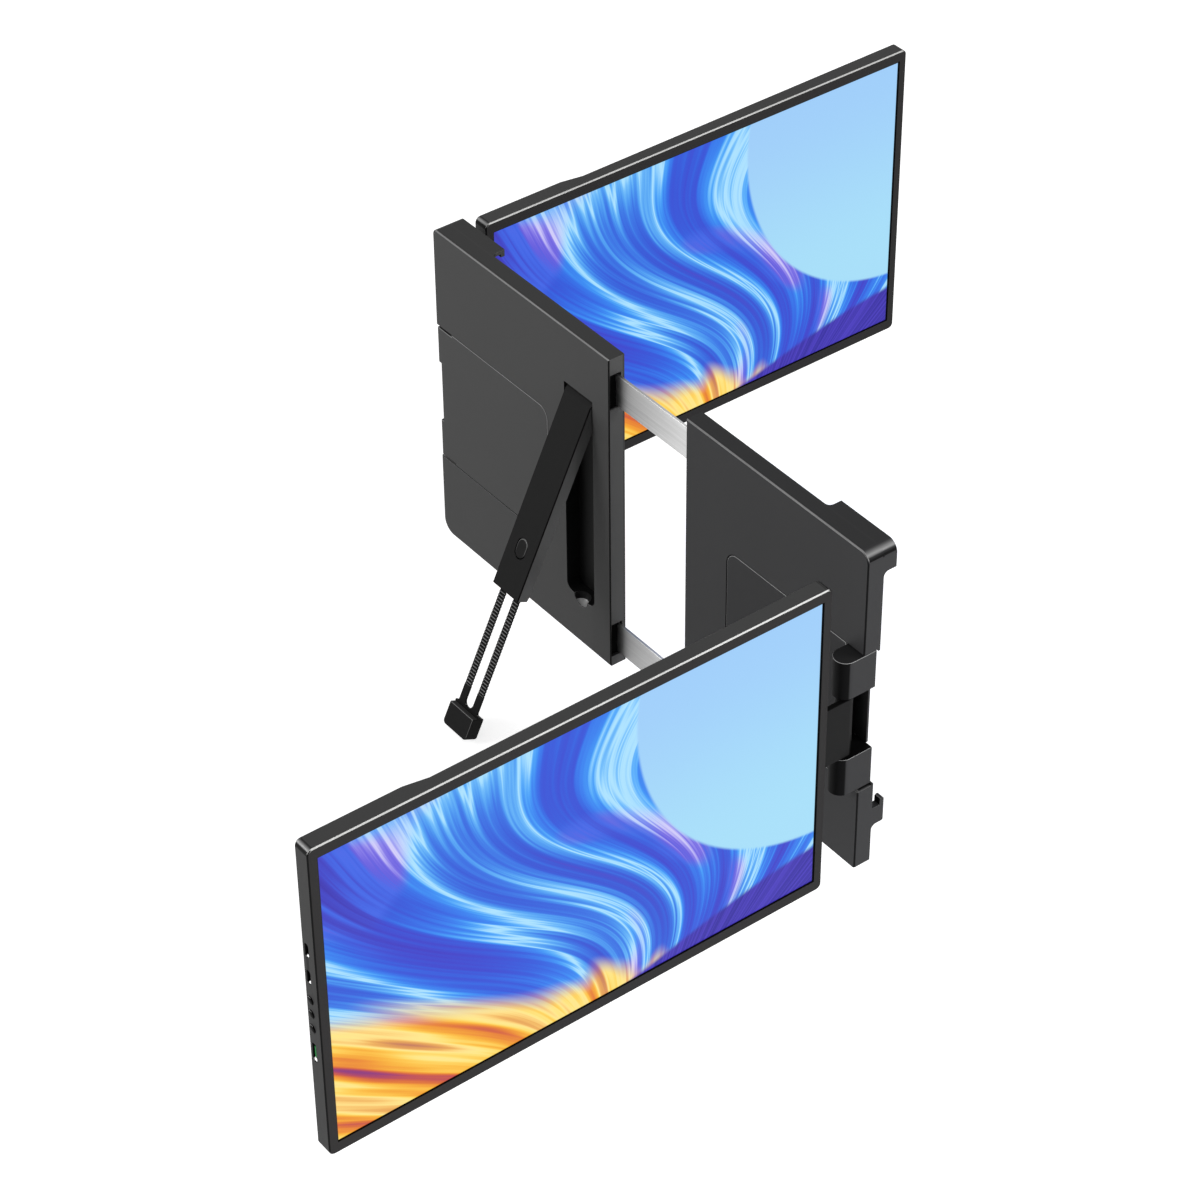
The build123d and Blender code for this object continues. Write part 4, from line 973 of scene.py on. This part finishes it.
def tooth_rule(face, corner):
    if abs(face.normal.x) >= 0.5 or face.calc_area() >= TOOTH_FACE:
        return None
    if face.normal.dot(down_leg) > -0.1:
        return -1.0
    crest = max(abs((v.co - fork_place).dot(into_leg)) for v in face.verts)
    deep = abs((corner.vert.co - fork_place).dot(into_leg))
    return CREST_HIGHLIGHT if deep > crest - CREST_REACH else -1.0


def leg_rule(face, corner):
    """The leg's big side face is painted lighter towards its foot."""
    if face.normal.x > 0.95 and face.calc_area() > LEG_SIDE_FACE:
        low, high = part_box("kickstand_leg_housing")
        return LEG_LIGHT_LOW + LEG_LIGHT_GAIN * (high.z - corner.vert.co.z) / (high.z - low.z)
    return None


def foot_rule(face, corner):
    if abs(face.normal.x) > 0.3:
        return 0.0
    return FOOT_LEDGE_LIGHT if face.normal.z > 0.8 else None


print("leg leans back by degrees:", round(math.degrees(STAND_ANGLE), 1))

# %% [markdown]
# The leg and foot are softened only on their outside. The fork isn't bevelled: a bevel would
# be about as large as its teeth, which stay crisp without one.

# %% Kickstand
LEG_ROUND, FOOT_ROUND, RELEASE_ROUND = 0.0004, 0.0005, 0.0003

soften("kickstand_leg_housing", LEG_ROUND, outside_of("kickstand_leg_housing"), leg_rule)
soften("kickstand_foot", FOOT_ROUND, outside_of("kickstand_foot"), foot_rule)
soften("kickstand_release_button", RELEASE_ROUND)
soften("kickstand_fork", rule=tooth_rule)

# %% [markdown]
# The six push buttons are little black domes. Each is one profile, from the stem to the top
# of the dome, spun round its own axis. Spinning makes a truly round piece from a few points,
# where a bevelled cylinder would keep a flat top.

# %% Domed push buttons
DOME_PROFILE = (
    (1.0, 0.0028), (1.0, 0.0006), (0.95, 0.00038), (0.85, 0.0002), (0.65, 0.00008), (0.35, 0.00001),
    (0.0, 0.0),
)
DOME_STEPS = 32
# Painted highlight on the band of each dome that looks partly up.
CROWN_HIGHLIGHT = 0.5


def crown_rule(face, corner):
    in_highlight = 0.25 < face.normal.z < 0.8 and face.normal.x < 0.2
    return CROWN_HIGHLIGHT if in_highlight else 0.0


def make_dome(name):
    low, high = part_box(name)
    middle = (low + high) / 2
    outward = -1 if name.startswith("right") else 1
    top = low.y if outward < 0 else high.y
    radius = (high.x - low.x) / 2
    shape = bmesh.new()
    points = [
        shape.verts.new((middle.x + share * radius, top - outward * deep, middle.z))
        for share, deep in DOME_PROFILE
    ]
    rims = [shape.edges.new(pair) for pair in zip(points, points[1:])]
    bmesh.ops.spin(
        shape, geom=points + rims, cent=(middle.x, top, middle.z), axis=(0, 1, 0),
        angle=math.tau, steps=DOME_STEPS, use_merge=True,
    )
    bmesh.ops.remove_doubles(shape, verts=shape.verts, dist=1e-6)
    bmesh.ops.holes_fill(shape, edges=[e for e in shape.edges if e.is_boundary], sides=2 * DOME_STEPS)
    bmesh.ops.recalc_face_normals(shape, faces=shape.faces)
    stand_for(shape, name, button_finish, rule=crown_rule)


for side in ("left", "right"):
    for role in ("lower", "middle", "upper"):
        make_dome(f"{side}_wing_{role}_button")
print("domed buttons:", sum(name.endswith("_button_soft") and "_wing_" in name for name in placed))

# %% [markdown]
# A port is a thin metal shell with a black throat. The outline is drawn once and pushed back
# into the wing. Its front is inset by the thickness of the sheet, and the mouth narrows
# through a short flare into the throat.

# %% Shell of a port
SHEET = 0.0003
FLARE = 0.0007
MOUTH_SHARE, THROAT_SHARE = 0.85, 0.85


def port_shape(points, front, back):
    shape = bmesh.new()
    rim = shape.faces.new([shape.verts.new((x, front, z)) for x, z in points])
    body = bmesh.ops.extrude_face_region(shape, geom=[rim], use_keep_orig=True)
    moved = [v for v in body["geom"] if isinstance(v, bmesh.types.BMVert)]
    bmesh.ops.translate(shape, verts=moved, vec=(0, back - front, 0))
    bmesh.ops.recalc_face_normals(shape, faces=shape.faces)
    bmesh.ops.inset_region(shape, faces=[rim], thickness=SHEET, use_even_offset=True)
    mouth = bmesh.ops.extrude_discrete_faces(shape, faces=[rim])["faces"]
    inward = math.copysign(FLARE, back - front)
    bmesh.ops.translate(shape, verts=mouth[0].verts[:], vec=(0, inward, 0))
    middle = Vector((0, 0, sum(z for _, z in points) / len(points)))
    bmesh.ops.scale(
        shape, verts=mouth[0].verts[:], vec=(1, 1, MOUTH_SHARE), space=Matrix.Translation(-middle),
    )
    throat = bmesh.ops.extrude_discrete_faces(shape, faces=mouth)["faces"]
    bmesh.ops.translate(
        shape, verts=throat[0].verts[:], vec=(0, (back - front) * THROAT_SHARE - inward, 0),
    )
    return shape


print("flare of a port in mm:", FLARE * 1000)

# %% [markdown]
# Most of a port is black, and only the lower end of its flare is bare metal that catches the
# light. The finish is chosen face by face, so the shell can stay one piece.

# %% Finish of a port
BARE_DROP = 0.0035


def place_port(name, points, front, back, ending):
    shape = port_shape(points, front, back)
    middle = sum(z for _, z in points) / len(points)
    for face in shape.faces:
        centre = face.calc_center_median()
        flared = abs(centre.y - front) < FLARE and face.normal.z > 0.3
        face.material_index = 0 if flared and centre.z < middle - BARE_DROP else 1
    mesh = bpy.data.meshes.new(name + ending)
    shape.to_mesh(mesh)
    shape.free()
    mesh.materials.append(socket_finish)
    mesh.materials.append(port_finish)
    place_piece(mesh, name, ending)


print("bare metal starts below a port's middle, in mm:", BARE_DROP * 1000)

# %% [markdown]
# The tongue inside a port carries the contacts. It is a small sheet, drawn flat, turned
# upright, pushed back to its length, and rounded a little at every edge.

# %% Tongue of a port
PORT_TONGUE_ROUND = 0.0001


def place_port_tongue(name, x, z, length, thick, front, back, finish, ending):
    shape = bmesh.new()
    bmesh.ops.create_grid(shape, x_segments=1, y_segments=1, size=0.5)
    turned = Matrix.Rotation(math.radians(90), 4, "X")
    bmesh.ops.transform(shape, matrix=turned, verts=shape.verts)
    bmesh.ops.scale(shape, verts=shape.verts, vec=(thick, 1, length))
    bmesh.ops.translate(shape, verts=shape.verts, vec=(x, front, z))
    body = bmesh.ops.extrude_face_region(shape, geom=shape.faces[:], use_keep_orig=True)
    moved = [v for v in body["geom"] if isinstance(v, bmesh.types.BMVert)]
    bmesh.ops.translate(shape, verts=moved, vec=(0, back - front, 0))
    bmesh.ops.recalc_face_normals(shape, faces=shape.faces)
    bmesh.ops.bevel(
        shape, geom=shape.edges[:], offset=PORT_TONGUE_ROUND, offset_type="OFFSET", segments=2,
        profile=0.5, affect="EDGES", clamp_overlap=True, material=-1,
    )
    mesh = bpy.data.meshes.new(name + ending)
    shape.to_mesh(mesh)
    shape.free()
    mesh.materials.append(finish)
    place_piece(mesh, name, ending)


print("tongue helper: place_port_tongue")

# %% [markdown]
# Two outlines serve six ports: a slot with round ends for the data ports, worked out from its
# length and thickness, and a video port's outline with two cut corners.

# %% Outlines of the ports
SLOT_POINTS = 24
VIDEO_BEVEL = 0.0009


def slot_outline(x, z, length, thick):
    reach = (length - thick) / 2
    angles = [math.tau * (step + 0.5) / SLOT_POINTS for step in range(SLOT_POINTS)]
    return [
        (x + thick / 2 * math.cos(a), z + thick / 2 * math.sin(a) + math.copysign(reach, math.sin(a)))
        for a in angles
    ]


def video_outline(x, z, length, thick):
    half, near, far = length / 2, x - thick / 2, x + thick / 2
    return [
        (far, z - half), (far, z + half), (near + VIDEO_BEVEL, z + half), (near, z + half - VIDEO_BEVEL),
        (near, z - half + VIDEO_BEVEL), (near + VIDEO_BEVEL, z - half),
    ]


print("points in a slot:", SLOT_POINTS)

# %% [markdown]
# Each wing has two data ports in one node and a video port in another. Their places come from
# the boxes of the nodes. The video port's tongue is green, as the board's own material.

# %% Port sockets
DATA_LENGTH = 0.0089
DATA_TONGUE_LENGTH, DATA_TONGUE_THICK = 0.0058, 0.0007
VIDEO_TONGUE_SHORTER, VIDEO_TONGUE_THICK = 0.0045, 0.0012
TONGUE_END, DATA_TONGUE_SET, VIDEO_TONGUE_SET = 0.8, 0.15, 0.04

for side, outward in (("left", 1), ("right", -1)):
    name = side + "_wing_usb_sockets"
    low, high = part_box(name)
    front, back = (low.y, high.y) if outward < 0 else (high.y, low.y)
    x, thick = (low.x + high.x) / 2, high.x - low.x
    deep = (back - front) * TONGUE_END
    for number, z in enumerate((low.z + DATA_LENGTH / 2, high.z - DATA_LENGTH / 2)):
        place_port(name, slot_outline(x, z, DATA_LENGTH, thick), front, back, f"_shell{number}")
        place_port_tongue(
            name, x, z, DATA_TONGUE_LENGTH, DATA_TONGUE_THICK, front + deep * DATA_TONGUE_SET, front + deep,
            port_finish, f"_tongue{number}",
        )
    name = side + "_wing_hdmi_socket"
    low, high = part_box(name)
    z, length = (low.z + high.z) / 2, high.z - low.z
    place_port(name, video_outline(x, z, length, thick), front, back, "_shell")
    place_port_tongue(
        name, x, z, length - VIDEO_TONGUE_SHORTER, VIDEO_TONGUE_THICK, front + deep * VIDEO_TONGUE_SET,
        front + deep, board_finish, "_tongue",
    )
print("port pieces:", sum("socket" in name for name in placed))

# %% [markdown]
# A product shot wants a pale, even room. The world is white to the camera and in
# reflections, but lights the object more gently than that, so dark plastic keeps its depth.

# %% Room
ROOM_LIGHT = 0.35


def make_room():
    world = bpy.data.worlds.new("room")
    world.use_nodes = True
    tree = world.node_tree
    backdrop = tree.nodes["Background"]
    rays = put(tree, "ShaderNodeLightPath")
    seen = calc(tree, "MAXIMUM", rays.outputs["Is Camera Ray"], rays.outputs["Is Glossy Ray"])
    also = calc(tree, "MAXIMUM", seen, rays.outputs["Is Transmission Ray"])
    strength = put(tree, "ShaderNodeMapRange", {"To Min": ROOM_LIGHT, "To Max": 1.0})
    tree.links.new(also, strength.inputs["Value"])
    join(tree, strength, "Result", backdrop, "Strength")
    backdrop.inputs["Color"].default_value = (1, 1, 1, 1)
    bpy.context.scene.world = world


make_room()
print("room's light on the object:", ROOM_LIGHT)

# %% [markdown]
# The floor is one pale sheet just under the foot. A white sheet would still render grey in
# this light, so a little glow lifts it to white for the camera and in reflections, and it
# keeps the object's own soft shadow.

# %% Floor
FLOOR_SIZE = 6.0
FLOOR_LIFT = 0.72
FLOOR_GAP = 0.0005


def make_floor(height):
    mesh = bpy.data.meshes.new("floor")
    shape = bmesh.new()
    bmesh.ops.create_grid(shape, x_segments=1, y_segments=1, size=FLOOR_SIZE)
    bmesh.ops.translate(shape, verts=shape.verts, vec=(0, 0, height))
    shape.to_mesh(mesh)
    shape.free()
    floor = bpy.data.objects.new("floor", mesh)
    bpy.context.scene.collection.objects.link(floor)
    material, shader = new_material("floor_white", roughness=0.9)
    tree = material.node_tree
    shader.inputs["Base Color"].default_value = (0.9, 0.9, 0.9, 1)
    shader.inputs["Emission Color"].default_value = (1, 1, 1, 1)
    rays = put(tree, "ShaderNodeLightPath")
    seen = calc(tree, "MAXIMUM", rays.outputs["Is Camera Ray"], rays.outputs["Is Glossy Ray"])
    tree.links.new(calc(tree, "MULTIPLY", seen, FLOOR_LIFT), shader.inputs["Emission Strength"])
    mesh.materials.append(material)


make_floor(cad_box[0][2] - FLOOR_GAP)
print("floor below the foot in mm:", FLOOR_GAP * 1000)

# %% [markdown]
# Three soft panels light the object: one behind its back, one over the front edge that the
# bezels mirror, and a broad low one from the side. Large lamps keep highlights wide.

# %% Lamps
CENTRE = Vector((0, 0, 0.1))
LAMP_DISTANCE = 2.2
LAMPS = (
    ("back_key", (-0.45, -0.80, 0.40), 0.8, 18),
    ("front_key", (0.62, 0.47, 0.60), 0.8, 10),
    ("side", (0.97, -0.10, 0.15), 1.2, 24),
)


def add_lamp(name, place, target, width, watts):
    data = bpy.data.lights.new(name, "AREA")
    data.shape = "SQUARE"
    data.size = width
    data.energy = watts
    lamp = bpy.data.objects.new(name, data)
    lamp.location = place
    lamp.rotation_euler = (target - place).to_track_quat("-Z", "Y").to_euler()
    bpy.context.scene.collection.objects.link(lamp)


for name, direction, width, watts in LAMPS:
    add_lamp(name, CENTRE + LAMP_DISTANCE * Vector(direction), CENTRE, width, watts)
print("lamps:", ", ".join(name for name, *_ in LAMPS))

# %% [markdown]
# The camera looks down at the back of the clamp from its right, with a long lens, so that
# parallel edges stay nearly parallel. It could be aimed with a constraint, but three angles
# also fix its small roll.

# %% Camera
CAMERA_PLACE = Vector((1.2719, -0.9949, 1.3649))
CAMERA_YAW = math.radians(143.0137)
CAMERA_PITCH = math.radians(38.9517)
CAMERA_ROLL = math.radians(-0.5365)
LENS, SENSOR = 112.44, 36


def add_camera():
    ahead = Vector((
        math.cos(CAMERA_PITCH) * math.cos(CAMERA_YAW),
        math.cos(CAMERA_PITCH) * math.sin(CAMERA_YAW),
        -math.sin(CAMERA_PITCH),
    ))
    level = Vector((math.sin(CAMERA_YAW), -math.cos(CAMERA_YAW), 0))
    upward = level.cross(ahead)
    right = level * math.cos(CAMERA_ROLL) + upward * math.sin(CAMERA_ROLL)
    top = -level * math.sin(CAMERA_ROLL) + upward * math.cos(CAMERA_ROLL)
    data = bpy.data.cameras.new("camera")
    data.lens = LENS
    data.sensor_width = SENSOR
    camera = bpy.data.objects.new("camera", data)
    turn = Matrix((right, top, -ahead)).transposed().to_4x4()
    camera.matrix_world = Matrix.Translation(CAMERA_PLACE) @ turn
    bpy.context.scene.collection.objects.link(camera)
    bpy.context.scene.camera = camera


add_camera()
bpy.context.scene.view_settings.view_transform = "Standard"
print("lens in mm:", LENS)

# %% [markdown]
# Last, the number of remade pieces is printed.

# %% Finish
print("pieces that stand for engineering ones:", len(placed))
